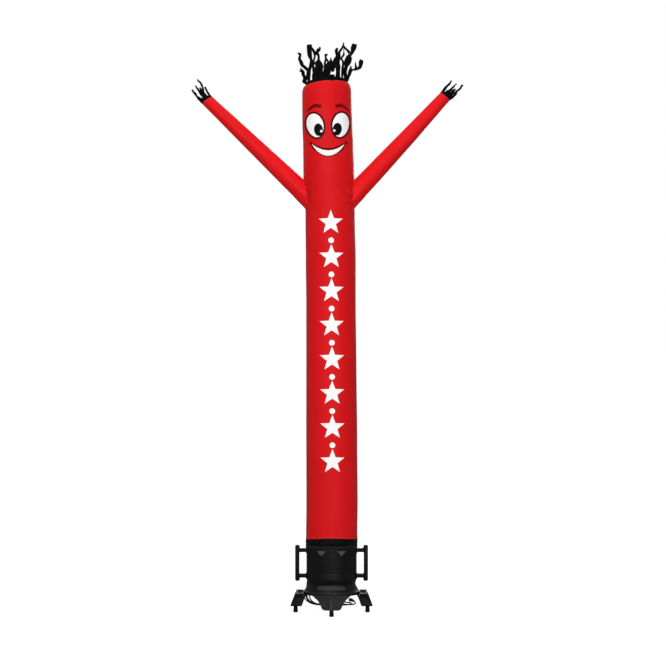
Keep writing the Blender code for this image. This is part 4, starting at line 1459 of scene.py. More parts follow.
@dataclass
class Prints:
    """What is printed on the tube's front: a plain smiling face, and a column of stars below it."""

    tube: Tube
    lift: float = 0.0005
    layer: float = 0.00035
    thickness: float = 0.0002
    finest: float = 0.011
    stars_top: float = 2.300
    stars_bottom: float = 0.900
    stars_shift: float = 0.004
    star_count: int = 8
    star_size: float = 0.074
    star_waist: float = 0.42
    disc_radius: float = 0.0165
    smile_left: float = -0.0880
    smile_right: float = 0.1030
    smile_top: float = 2.7625
    smile_steps: int = 24

    def patch(self, outline: Sequence[Spot], layer: int, cuts: int = 3) -> BMesh:
        """A flat outline of (x, z) points laid on the tube's front.

        Args:
            outline: the outline's points, seen from ahead.
            layer: how many prints lie under it.
            cuts: how finely it is divided.

        Returns:
            The patch's bmesh, which add makes as thick as ink.
        """
        bm = bmesh.new()
        bm.faces.new([bm.verts.new((x, 0, z)) for x, z in outline])
        bm.normal_update()
        bmesh.ops.triangulate(bm, faces=bm.faces, ngon_method="EAR_CLIP")
        for _ in range(cuts):
            long = [e for e in bm.edges if e.calc_length() > self.finest]
            if not long:
                break
            bmesh.ops.subdivide_edges(bm, edges=long, cuts=1)
            bmesh.ops.triangulate(bm, faces=[f for f in bm.faces if len(f.verts) > 3])
        for vert in bm.verts:
            vert.co = self.tube.on_face(vert.co.x, vert.co.z, self.lift + self.layer * layer)
        bm.normal_update()
        if sum(f.normal.y * f.calc_area() for f in bm.faces) > 0:
            bmesh.ops.reverse_faces(bm, faces=bm.faces)
        return bm

    def oval(
        self, x: float, z: float, wide: float, high: float, tilt: float = 0, egg: float = 0, steps: int = 44
    ) -> list[Spot]:
        """The outline of an oval.

        Args:
            x: its middle, across.
            z: its middle's height.
            wide: half its width.
            high: half its height.
            tilt: how far its top leans.
            egg: how much wider it is above.
            steps: its corners.

        Returns:
            The outline.
        """
        made = []
        for step in range(steps):
            turn = step * TAU / steps
            up = math.sin(turn)
            made.append((x + wide * math.cos(turn) * (1 + egg * up) + tilt * up, z + high * up))
        return made

    def stroke(self, spots: Sequence[Point]) -> BMesh:
        """A brush stroke.

        Args:
            spots: across, height and half width at each spot that it runs through.

        Returns:
            The stroke's patch.
        """
        path = smooth_path([Vector(spot) for spot in spots], 6)
        last = len(path) - 1
        upper, lower = [], []
        for i, spot in enumerate(path):
            along = (path[min(i + 1, last)] - path[max(i - 1, 0)]).to_2d().normalized()
            side = Vector((-along.y, along.x)) * max(0.0004, spot.z)
            upper.append((spot.x + side.x, spot.y + side.y))
            lower.append((spot.x - side.x, spot.y - side.y))
        return self.patch(upper + lower[::-1], 0)

    def add(self, name: str, finish: Ink, *patches: BMesh) -> Object:
        """Makes one print of several patches."""
        made = piece(name, joined(*patches), finish.material(), sharp=70)
        return baked(walled(made, self.thickness), 70)

    def eyes(self) -> list[Object]:
        """Prints the two eyes: a maroon edge, the white, the pupil and its glint.

        Returns:
            The pieces.
        """
        edge, white, black, glint = [], [], [], []
        for middle, z, half, high, tilt in (
            (-0.0692, 2.8700, 0.0581, 0.0790, -0.0112), (0.0803, 2.8730, 0.0566, 0.0805, 0.0079),
        ):
            edge.append(self.patch(self.oval(middle, z, half + 0.0025, high + 0.0015, tilt, 0.05), 0))
            white.append(self.patch(self.oval(middle, z, half - 0.0088, high - 0.0095, tilt, 0.05), 1))
        for x, z, wide, tilt in ((-0.0490, 2.8440, 0.0262, -0.003), (0.0600, 2.8475, 0.0266, 0.003)):
            black.append(self.patch(self.oval(x, z, wide, 0.0372, tilt), 2))
        for x, z in ((-0.0325, 2.8350), (0.0425, 2.8385)):
            glint.append(self.patch(self.oval(x, z, 0.0072, 0.0072, steps=20), 3))
        return [
            self.add("eye_edges", MAROON_INK, *edge), self.add("eye_whites", WHITE_INK, *white),
            self.add("pupils", BLACK_INK, *black), self.add("glints", WHITE_INK, *glint),
        ]

    def brows(self) -> Object:
        """Prints two brush strokes, thick near the middle and thin outside.

        Returns:
            The brows.
        """
        left = (
            (-0.1190, 2.9550, 0.0022), (-0.0950, 2.9745, 0.0080), (-0.0640, 2.9865, 0.0102),
            (-0.0330, 2.9785, 0.0088),
        )
        right = (
            (0.0500, 2.9805, 0.0088), (0.0750, 2.9880, 0.0100), (0.1000, 2.9820, 0.0078),
            (0.1365, 2.9540, 0.0022),
        )
        return self.add("brows", BROW_INK, self.stroke(left), self.stroke(right))

    def crescent(self, grow: float) -> list[Spot]:
        """The outline of the smile.

        Args:
            grow: how much larger than its light part it is.

        Returns:
            The outline.
        """
        left, right, corner = self.smile_left - grow, self.smile_right + grow, self.smile_top + grow * 0.6
        upper, lower = [], []
        for step in range(self.smile_steps + 1):
            share = step / self.smile_steps
            x = between(left, right, share)
            sag = 4 * share * (1 - share)
            edge = grow * min(1.0, sag * 4)
            upper.append((x, corner - 0.0400 * sag + edge * 0.85))
            lower.append((x, corner - 0.0715 * sag**0.86 - edge * 1.15))
        return upper + lower[::-1][1:-1]

    def mouth(self) -> list[Object]:
        """Prints the smile: a maroon edge with a mark at each corner, and its light part.

        Returns:
            The pieces.
        """
        left = ((-0.1080, 2.7590, 0.0012), (-0.1000, 2.7680, 0.0042), (-0.0880, 2.7740, 0.0024))
        right = ((0.1020, 2.7750, 0.0024), (0.1150, 2.7700, 0.0042), (0.1230, 2.7610, 0.0012))
        return [
            self.add("mouth_edge", MAROON_INK, self.patch(self.crescent(0.0092), 0, 4)),
            self.add("mouth_corners", BROW_INK, self.stroke(left), self.stroke(right)),
            self.add("mouth_light", CREAM_INK, self.patch(self.crescent(0.0), 1, 4)),
        ]

    def star(self, x: float, z: float) -> BMesh:
        """A five-pointed star with its middle here.

        Args:
            x: its middle, across.
            z: its middle's height.

        Returns:
            The star's patch.
        """
        outline = []
        for step in range(10):
            turn = TAU / 4 + step * TAU / 10
            reach = self.star_size * (self.star_waist if step % 2 else 1)
            outline.append((x + reach * math.cos(turn), z + reach * math.sin(turn)))
        return self.patch(outline, 0, 5)

    def stars(self) -> Object:
        """Prints a column of stars down the front, with a disc between each two.

        Returns:
            The column.
        """
        gaps = self.star_count - 1
        patches = []
        for step in range(self.star_count):
            z = between(self.stars_top, self.stars_bottom, step / gaps)
            patches.append(self.star(self.tube.size_at(z)[1] + self.stars_shift, z))
            if step < gaps:
                z -= (self.stars_top - self.stars_bottom) / gaps / 2
                x = self.tube.size_at(z)[1] + self.stars_shift
                disc = self.oval(x, z - 0.004, self.disc_radius, self.disc_radius, steps=28)
                patches.append(self.patch(disc, 0))
        return self.add("star_column", WHITE_INK, *patches)

    def build(self) -> list[Object]:
        """Builds every print."""
        return [*self.eyes(), self.brows(), *self.mouth(), self.stars()]


# --- the cuff


@dataclass
class Cuff:
    """The black foot of the tube, gathered on the drum by a strap."""

    tube: Tube
    bottom: float = 0.3830
    foot_radius: float = 0.1514
    radius: float = 0.1530
    thickness: float = 0.0012
    strap_bottom: float = 0.3845
    strap_width: float = 0.0190
    strap_thickness: float = 0.0016
    strap_edge: float = 0.0005
    buckle_angle: float = math.radians(64)
    folds: float = 0.0013
    fullness: float = 0.0012
    tightness: float = 0.0004
    tight_reach: float = 0.012  # how far above the strap the folds begin
    girth: float = TAU * 0.152
    cloth_height: float = 0.055
    hem_thickness: float = 0.0011
    hem_half: float = 0.0026
    columns: int = 160
    rows: int = 22
    strap_columns: int = 144
    hem_sides: int = 8

    def point(self, angle: float, share: float) -> Vector:
        """The spot of the cuff's cloth.

        Args:
            angle: its direction.
            share: from 0 at the cuff's hem to 1 at the tube's seam.

        Returns:
            The spot.
        """
        top = self.tube.hem_height(angle)
        height = between(self.bottom, top, share)
        above = height - self.strap_bottom - self.strap_width
        free = top - self.strap_bottom - self.strap_width
        loose = eased(above / self.tight_reach)
        folds = ring_noise(angle, 9.0, 5.0) + 0.7 * ring_noise(angle, 21.0, 8.0)
        full = math.sin(math.pi * min(1.0, max(0.0, above / free) ** 0.8))
        radius = between(self.foot_radius, self.radius, loose)
        radius += loose * (self.folds * folds * full - self.tightness + self.fullness * full)
        upper, middle = self.tube.size_at(height)
        near_top = eased((share - 0.75) / 0.25)
        radius = between(radius, upper + self.tube.relief(angle, top), near_top)
        return upright(radius, angle, height, AXIS_X + (middle - AXIS_X) * near_top)

    def build(self) -> list[Object]:
        """Builds the cuff, its strap with a buckle and the folded seam to the tube.

        Returns:
            The pieces.
        """

        def place(column: int, row: int) -> Vector:
            """The corner of the cuff's sheet."""
            return self.point(column * TAU / self.columns, row / self.rows)

        bm = gridded(self.columns, self.rows, place)
        scaled_uv(bm, self.girth / self.columns, self.cloth_height / self.rows)
        outward(bm, Vector((AXIS_X, 0, (self.bottom + self.tube.hem) / 2)))
        cloth = piece("cuff_cloth", bm, CUFF_BLACK.material(), sharp=60)
        baked(walled(cloth, self.thickness), 60)
        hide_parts("cuff")
        return [cloth, self.strap(), self.buckle(), self.seam()]

    def strap(self) -> Object:
        """Builds the webbing round the cuff, with rounded edges.

        Returns:
            The strap.
        """
        low, top, edge = self.strap_bottom, self.strap_bottom + self.strap_width - 0.001, self.strap_edge
        inner = self.foot_radius + GAP
        outer = inner + self.strap_thickness
        profile = rounded(((inner, low, edge), (outer, low, edge), (outer, top, edge), (inner, top, edge)), 2)

        def place(column: int, row: int) -> Vector:
            """The corner of the strap's skin."""
            radius, height = profile[row % len(profile)]
            return upright(radius, column * TAU / self.strap_columns, height)

        bm = faced(gridded(self.strap_columns, len(profile), place))
        scaled_uv(bm, TAU * 0.153 / self.strap_columns)
        made = piece("strap_webbing", bm, STRAP.material(), sharp=50)
        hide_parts("cinch_strap")
        return made

    def buckle(self) -> Object:
        """Builds the strap's ladder buckle, at the back.

        Returns:
            The buckle.
        """
        reach = self.foot_radius + self.strap_thickness + GAP
        middle = self.strap_bottom + self.strap_width / 2 - 0.0005
        uprights = [
            box((thick, 0.0030, 0.026), (reach + 0.0016 + thick / 2, across, middle))
            for across, thick in ((-0.0120, 0.0034), (0.0, 0.0030), (0.0120, 0.0034))
        ]
        rails = [box((0.0034, 0.027, 0.0030), (reach + 0.0033, 0, middle + up)) for up in (-0.0118, 0.0118)]
        bm = joined(*uprights, *rails)
        moved(bevelled(bm, bm.edges, 0.0007), about_axis(self.buckle_angle))
        made = piece("strap_buckle", bm, HANDLE_PLASTIC.material())
        return made

    def seam(self) -> Object:
        """Builds the folded edge where the red cloth is sewn onto the black.

        Returns:
            The folded edge.
        """

        def place(column: int, row: int) -> Vector:
            """The corner of the folded edge's skin, a flat roll just below and above the seam.

            Args:
                column: the corner's column.
                row: its row.

            Returns:
                Its spot.
            """
            angle = column * TAU / self.columns
            spot = self.tube.point(angle, self.tube.hem_height(angle) + 0.0004)
            turn = row / self.hem_sides * TAU
            wide = self.hem_thickness + 0.0003 * ring_noise(angle, 30)
            return spot + away(angle) * (0.0002 + wide * math.cos(turn)) + UP * self.hem_half * math.sin(turn)

        bm = faced(gridded(self.columns, self.hem_sides, place))
        scaled_uv(bm, TAU * 0.153 / self.columns, 0.001)
        made = piece("hem_seam", bm, CUFF_BLACK.material(), sharp=70)
        return made


# --- the blower


@dataclass
class Blower:
    """The floor-standing blower: its drum and lugs, base ring, guard, legs, feet and handles."""

    drum_radius: float = 0.1490
    drum_top: float = 0.4280
    wall: float = 0.0040
    waist_top: float = 0.2025
    waist_radius: float = 0.1412
    waist_height: float = 0.1740
    flare_radius: float = 0.1580
    # the flare strip, lighter than the drum: a painted highlight
    highlight_strip_spread: float = math.radians(33)
    highlight_strip_thickness: float = 0.0026
    highlight_strip_columns: int = 48
    lug_half: float = 0.026
    lug_bottom: float = 0.3460
    lug_top: float = 0.3750
    lug_depth: float = 0.0128
    lug_reach: float = 0.0090  # past the drum
    lug_slant: float = 0.0035
    lug_sunk: float = 0.0030
    boss_reach: float = 0.0088
    boss_height: float = 0.3668
    lug_angles: tuple[float, ...] = (-112.5, -67.5, 67.5, 112.5)
    ring_top: float = 0.1340
    ring_bottom: float = 0.1100
    ring_radius: float = 0.1665
    ring_bore: float = 0.1380
    guard_rings: tuple[float, ...] = (0.044, 0.062, 0.080, 0.098, 0.116, 0.1345)
    guard_rise: float = 0.0064  # above the ring's foot
    guard_wire: float = 0.0013
    guard_spokes: int = 8
    spoke_wire: float = 0.0015
    spoke_reaches: tuple[float, ...] = (0.020, 0.076, 0.1355)
    guard_steps: int = 72
    leg_top: float = 0.1230
    leg_bottom: float = 0.0390
    leg_top_reach: float = 0.2088
    leg_bottom_reach: float = 0.2405
    plate_depth: float = 0.0065
    box_half: float = 0.100
    box_heel: float = 0.1764
    box_knee: Spot = (0.1575, 0.0930)
    box_toe: float = 0.1480
    box_lip: float = 0.0018
    well_depth: float = 0.0160
    foot_reach: float = 0.2128
    foot_radius: float = 0.0135
    handle_outer: float = 0.2157
    handle_inner: float = 0.1904
    handle_top: float = 0.3985
    handle_bottom: float = 0.1864
    handle_depth: float = 0.0300
    handle_neck: float = 0.002
    handle_bend: float = 0.006
    handle_corner: float = 0.010
    handle_arms: tuple[Pair, Pair] = ((0.2053, 0.2287), (0.3563, 0.3790))
    mounts: tuple[Pair, Pair] = ((0.2000, 0.2340), (0.3510, 0.3843))  # the handles' plates on the drum
    mount_half: float = 0.022
    mount_corner: float = 0.005
    mount_depth: float = 0.004
    screw_levels: Pair = (0.2170, 0.3677)
    screw_side: float = 0.0178
    screw_reach: float = 0.0050
    leg_outline: tuple[Pair, ...] = (  # height and half width
        (0.1230, 0.1160), (0.1180, 0.1080), (0.1070, 0.0960), (0.0950, 0.0830), (0.0830, 0.0720),
        (0.0640, 0.0630), (0.0490, 0.0570), (0.0420, 0.0490), (0.0390, 0.0400),
    )
    box_outline: tuple[Pair, ...] = (  # the same, of the box behind the plate
        (0.1230, 0.1060), (0.1050, 0.0900), (0.0980, 0.0600), (0.0500, 0.0560), (0.0390, 0.0420),
    )

    def drum(self) -> Object:
        """Builds the drum: a straight duct, a waist and a flare, with a bead and parting lines.

        Returns:
            The drum.
        """
        r, top = self.drum_radius, self.drum_top
        outer = [
            (r, top - 0.002, 0.0015), (r, 0.3770, 0.001), (r + 0.0012, 0.3755, 0.001),
            (r + 0.0012, 0.3720, 0.001), (r, 0.3705, 0.001), (r, 0.2450, 0.0008),
            (r - 0.0008, 0.2442, 0.0004), (r - 0.0008, 0.2425, 0.0004), (r, 0.2417, 0.0008),
            (r, self.waist_top, 0.006), (r - 0.0030, self.waist_top - 0.012, 0.008),
            (self.waist_radius, self.waist_height, 0.010),
            (self.waist_radius + 0.0030, self.waist_height - 0.012, 0.010),
            (self.flare_radius - 0.0040, self.ring_top + 0.010, 0.006),
            (self.flare_radius, self.ring_top + GAP, 0.001),
        ]
        inner = [
            (self.ring_bore + 0.001, self.ring_top + GAP, 0.001),
            (self.waist_radius - self.wall, self.waist_height - 0.012, 0.006),
            (self.waist_radius - self.wall, self.waist_height, 0.006),
            (r - self.wall, self.waist_top, 0.006), (r - self.wall, top, 0.001), (r - 0.002, top, 0.001),
        ]
        made = piece("drum_shell", turned(rounded([*outer, *inner])), HOUSING.material(), sharp=30)
        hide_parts("drum")
        return made

    def highlight_strip(self, side: float) -> Object:
        """Builds a glossy strip laid across the flare. Its gloss is real; its colour, lighter than the drum,
        is a painted highlight where the flare faces the top light.

        Args:
            side: the direction that it faces.

        Returns:
            The strip.
        """
        profile = ((0.1424, 0.1685), (0.1432, 0.1630), (0.1470, 0.1555), (0.1512, 0.1485), (0.1536, 0.1450))
        rows = len(profile) - 1

        def place(column: int, row: int) -> Vector:
            """The corner of the strip's face, its ends drawn in to round them.

            Args:
                column: the corner's column.
                row: its row.

            Returns:
                Its spot.
            """
            share = 2 * column / self.highlight_strip_columns - 1
            narrow = 1.0 - 0.55 * max(0.0, (abs(share) - 0.9) / 0.1) ** 2
            near = (row - rows / 2) * narrow + rows / 2
            first = min(rows - 1, int(near))
            low, high = Vector(profile[first]), Vector(profile[first + 1])
            radius, height = low.lerp(high, near - first)
            return upright(radius + 0.0012, side + share * self.highlight_strip_spread, height)

        bm = gridded(self.highlight_strip_columns, rows, place, closed=False)
        outward(bm, Vector((AXIS_X, 0, 0.10)))
        made = piece(f"flare_highlight_strip_{'front' if side < 0 else 'back'}", bm, FLARE_HIGHLIGHT_PLASTIC.material(), sharp=40)
        walled(made, self.highlight_strip_thickness)
        rim = made.modifiers.new("Rim", "BEVEL")
        rim.width = 0.0004
        rim.segments = 2
        baked(made, 40)
        return made

    def stud(self, wide: float, narrow: float, depth: float, segments: int, seat: Matrix) -> BMesh:
        """A low round stud that stands out along +X of its seat.

        Args:
            wide: its radius at its foot.
            narrow: its radius on top.
            depth: how thick it is.
            segments: its sides.
            seat: where its middle goes.

        Returns:
            The stud's bmesh.
        """
        bm = bmesh.new()
        bmesh.ops.create_cone(bm, cap_ends=True, segments=segments, radius1=wide, radius2=narrow, depth=depth)
        return moved(bm, seat @ Matrix.Rotation(TAU / 4, 4, "Y"))

    def lug(self, number: int, angle: float) -> Object:
        """Builds a moulded lug, flat in front, pointed below and with a screw boss.

        Args:
            number: which lug.
            angle: the direction it stands in.

        Returns:
            The lug.
        """
        half, low, top = self.lug_half, self.lug_bottom, self.lug_top
        outline = [(-half, top, 0.002), (half, top, 0.002), (0.004, low, 0.003), (-0.004, low, 0.003)]
        bm = slab(rounded(outline), self.lug_depth, 0.0014)
        for vert in bm.verts:
            x, y, z = vert.co
            out = self.drum_radius + self.lug_reach - (y + self.lug_depth / 2)
            out -= self.lug_slant * (top - z) / (top - low) if y < 0 else 0.0
            vert.co = (max(out, self.drum_radius - self.lug_sunk), x, z)
        seat = Matrix.Translation((self.drum_radius + self.boss_reach, 0, self.boss_height))
        joined(faced(bm), self.stud(0.0062, 0.0056, 0.0020, 24, seat))
        made = piece(f"drum_lug_{number}", moved(bm, about_axis(angle)), LUG_PLASTIC.material())
        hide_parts(f"lug_{number}")
        return made

    def ring(self) -> Object:
        """Builds the base ring, with a step, a bead and a ledge for the guard.

        Returns:
            The ring.
        """
        outer, bottom, top, bore = self.ring_radius, self.ring_bottom, self.ring_top, self.ring_bore
        profile = [
            (outer - 0.0045, top, 0.0015), (outer - 0.0030, top - 0.0045, 0.0015),
            (outer, top - 0.0060, 0.0020), (outer, bottom + 0.0040, 0.0010),
            (outer - 0.0015, bottom, 0.0015), (bore - 0.006, bottom, 0.001),
            (bore - 0.006, bottom + 0.004, 0.0006), (bore, bottom + 0.004, 0.0), (bore, top, 0.001),
        ]
        made = piece("ring_moulding", turned(rounded(profile)), RING_PLASTIC.material(), sharp=30)
        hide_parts("base_ring")
        return made

    def guard(self) -> Object:
        """Builds the inlet guard: round wires in rings on eight spokes, about a pressed hub.

        Returns:
            The guard.
        """
        level = self.ring_bottom + self.guard_rise
        turns = [step * TAU / self.guard_steps for step in range(self.guard_steps)]
        parts = []
        for radius in self.guard_rings:
            parts.append(rod([upright(radius, turn, level) for turn in [*turns, turns[0]]], self.guard_wire))
        for number in range(self.guard_spokes):
            turn = number * TAU / self.guard_spokes
            spoke = [upright(reach, turn, level - 0.0001) for reach in self.spoke_reaches]
            parts.append(rod(spoke, self.spoke_wire))
        hub = bmesh.new()
        bmesh.ops.create_cone(hub, cap_ends=True, segments=48, radius1=0.024, radius2=0.027, depth=0.0034)
        bmesh.ops.translate(hub, verts=hub.verts, vec=(AXIS_X, 0, level))
        made = piece("guard_wires", joined(hub, *parts), GUARD_STEEL.material(), sharp=40)
        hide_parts("inlet_guard")
        return made

    def plate_reach(self, height: float) -> float:
        """How far from the axis a leg plate's outer face is at this height."""
        share = (self.leg_top - height) / (self.leg_top - self.leg_bottom)
        return between(self.leg_top_reach, self.leg_bottom_reach, share)

    def leg(self, name: str, angle: float) -> Object:
        """Builds a leg: a bell-shaped plate with a raised edge and ribs, and the box behind it.

        Args:
            name: which leg.
            angle: the direction it stands in.

        Returns:
            The leg.
        """
        sides = [(half, height, 0.006) for height, half in self.leg_outline]
        outline = rounded(sides + [(-half, height, 0.006) for half, height, _ in reversed(sides)], 3)
        plate = slab(outline, self.plate_depth)
        face = max(plate.faces, key=lambda f: -f.normal.y * f.calc_area())
        bmesh.ops.inset_region(plate, faces=[face], thickness=0.0045, depth=0.0)
        bmesh.ops.inset_region(plate, faces=[face], thickness=0.0012, depth=-0.0022)
        steep = math.radians(50)
        rims = [e for e in plate.edges if len(e.link_faces) == 2 and e.calc_face_angle(0) > steep]
        bevelled(plate, rims, 0.0012)
        for vert in plate.verts:
            x, y, z = vert.co
            vert.co = (self.plate_reach(z) - (y + self.plate_depth / 2), x, z)
        whole = joined(faced(plate), self.leg_box(), *self.leg_ribs())
        made = piece(f"leg_moulding_{name}", whole, LEG_PLASTIC.material(), sharp=30)
        made.data.transform(about_axis(angle))
        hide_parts(f"leg_{name}")
        return made

    def box_width(self, height: float) -> float:
        """How wide the box behind a leg's plate is: a flange above, walls below.

        Args:
            height: where it is measured.

        Returns:
            Half its width.
        """
        for (high, wide), (low, narrow) in zip(self.box_outline, self.box_outline[1:]):
            if height >= low:
                break
        return between(narrow, wide, min(1.0, max(0.0, (height - low) / (high - low))))

    def leg_box(self) -> BMesh:
        """The open-topped box behind a leg's plate, which seats under and against the ring.

        Returns:
            The box.
        """
        seat, under = self.ring_radius + GAP, self.ring_bottom - GAP
        top, bottom = self.leg_top - 0.0005, self.leg_bottom + 0.001
        outline = [
            (seat, top, 0.0008), (self.plate_reach(top) - 0.006, top, 0.0),
            (self.plate_reach(bottom) - 0.006, bottom, 0.0), (self.box_heel, bottom, 0.004),
            (*self.box_knee, 0.006), (self.box_toe, under, 0.001), (seat, under, 0.0),
        ]
        box_bm = slab(rounded(outline, 3), 2 * self.box_half, 0.0015)
        lid = max(box_bm.faces, key=lambda f: f.normal.z * f.calc_area())
        bmesh.ops.inset_region(box_bm, faces=[lid], thickness=self.box_lip, depth=0.0)
        bmesh.ops.inset_region(box_bm, faces=[lid], thickness=0.0004, depth=-self.well_depth)
        for height, _ in self.box_outline[1:-1]:
            geom = [*box_bm.verts, *box_bm.edges, *box_bm.faces]
            bmesh.ops.bisect_plane(box_bm, geom=geom, plane_co=(0, 0, height), plane_no=(0, 0, 1))
        for vert in box_bm.verts:
            vert.co.y *= self.box_width(vert.co.z) / self.box_half
        return box_bm

    def leg_ribs(self) -> list[BMesh]:
        """The broad rib down the middle of a leg's plate, and a thin one on each side.

        Returns:
            The ribs.
        """
        made = []
        reach = self.plate_reach
        for middle, width, height in ((0.0, 0.019, 0.004), (-0.044, 0.004, 0.0009), (0.044, 0.004, 0.0009)):
            low = self.leg_bottom + (0.018 if middle else 0.0015)
            high = self.leg_top - 0.0025 - (0.006 if middle else 0.0)
            outline = [
                (reach(high) - 0.005, high, 0.0), (reach(high), high, 0.0),
                (reach(high - 0.004) + height, high - 0.004, 0.002), (reach(low) + height, low, 0.001),
                (reach(low) - 0.005, low, 0.0),
            ]
            rib = slab(rounded(outline, 3), width, min(0.0014, width * 0.3))
            bmesh.ops.translate(rib, verts=rib.verts, vec=(0, middle, 0))
            made.append(rib)
        return made

    def foot(self, name: str, angle: float) -> Object:
        """Builds the round post under a leg, with a ribbed rubber shoe.

        Args:
            name: which leg's.
            angle: the direction it stands in.

        Returns:
            The foot.
        """
        r, top = self.foot_radius, self.leg_bottom + 0.001 - GAP
        profile = [
            (0.0, 0.0), (r - 0.0030, 0.0), (r - 0.0009, 0.0009), (r, 0.0030), (r, 0.0095),
            (r - 0.0010, 0.0102), (r - 0.0010, 0.0114), (r, 0.0121), (r, 0.0190), (r - 0.0012, 0.0205),
            (r - 0.0012, top), (0.0, top),
        ]
        bm = turned(profile, 40, closed=False, middle=0.0)
        moved(bm, about_axis(angle) @ Matrix.Translation((self.foot_reach, 0, 0)))
        made = piece(f"foot_shoe_{name}", bm, FOOT_RUBBER.material(), sharp=40)
        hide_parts(f"foot_{name}")
        return made

    def handle(self, side: Side, angle: float) -> Object:
        """Builds a side handle: a rounded grip on two arms, each with a plate screwed to the drum.

        Args:
            side: which side it is on.
            angle: the direction it stands in.

        Returns:
            The handle.
        """
        root, inner, outer = self.drum_radius + GAP, self.handle_inner, self.handle_outer
        neck, bend, corner = inner - self.handle_neck, self.handle_bend, self.handle_corner
        (under, low), (high, over) = self.handle_arms
        outline = [
            (root, under, 0.0), (neck, under, bend), (neck, self.handle_bottom, corner),
            (outer, self.handle_bottom, corner), (outer, self.handle_top, corner),
            (neck, self.handle_top, corner), (neck, over, bend), (root, over, 0.0),
            (root, high, 0.0), (inner, high, bend), (inner, low, bend), (root, low, 0.0),
        ]
        whole = slab(rounded(outline), self.handle_depth, 0.0050)
        half, corner = self.mount_half, self.mount_corner
        for low, high in self.mounts:
            sheet = [(-half, low, corner), (half, low, corner), (half, high, corner), (-half, high, corner)]
            flange = slab(rounded(sheet), self.mount_depth, 0.001)
            for vert in flange.verts:
                turn, reach = vert.co.x / self.drum_radius, root - (vert.co.y - self.mount_depth / 2)
                vert.co = upright(reach, turn, vert.co.z, 0)
            joined(whole, faced(flange))
        made = piece(f"handle_grip_{side.value}", whole, HANDLE_PLASTIC.material())
        made.data.transform(about_axis(angle))
        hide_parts(f"handle_{side.value}")
        return made

    def screws(self) -> Object:
        """Builds the screws of the handles' plates.

        Returns:
            The screws.
        """
        made = bmesh.new()
        for angle in (0.0, math.pi):
            for level in self.screw_levels:
                for side in (-self.screw_side, self.screw_side):
                    out = Matrix.Translation((self.drum_radius + self.screw_reach, 0, level))
                    seat = about_axis(angle + side / self.drum_radius) @ out
                    joined(made, self.stud(0.0031, 0.0022, 0.0016, 20, seat))
        return piece("handle_screws", made, SCREW_STEEL.material(), sharp=30)

    def build(self) -> list[Object]:
        """Builds the whole blower.

        Returns:
            The pieces.
        """
        made = [self.drum(), self.highlight_strip(FRONT), self.highlight_strip(BACK), self.ring(), self.guard()]
        for number, degrees in enumerate(self.lug_angles, 1):
            made.append(self.lug(number, math.radians(degrees)))
        for number, name in enumerate(("right", "back", "left", "front")):
            made += [self.leg(name, number * TAU / 4), self.foot(name, number * TAU / 4)]
        return made + [self.handle(Side.RIGHT, 0.0), self.handle(Side.LEFT, math.pi), self.screws()]


# --- the power cord


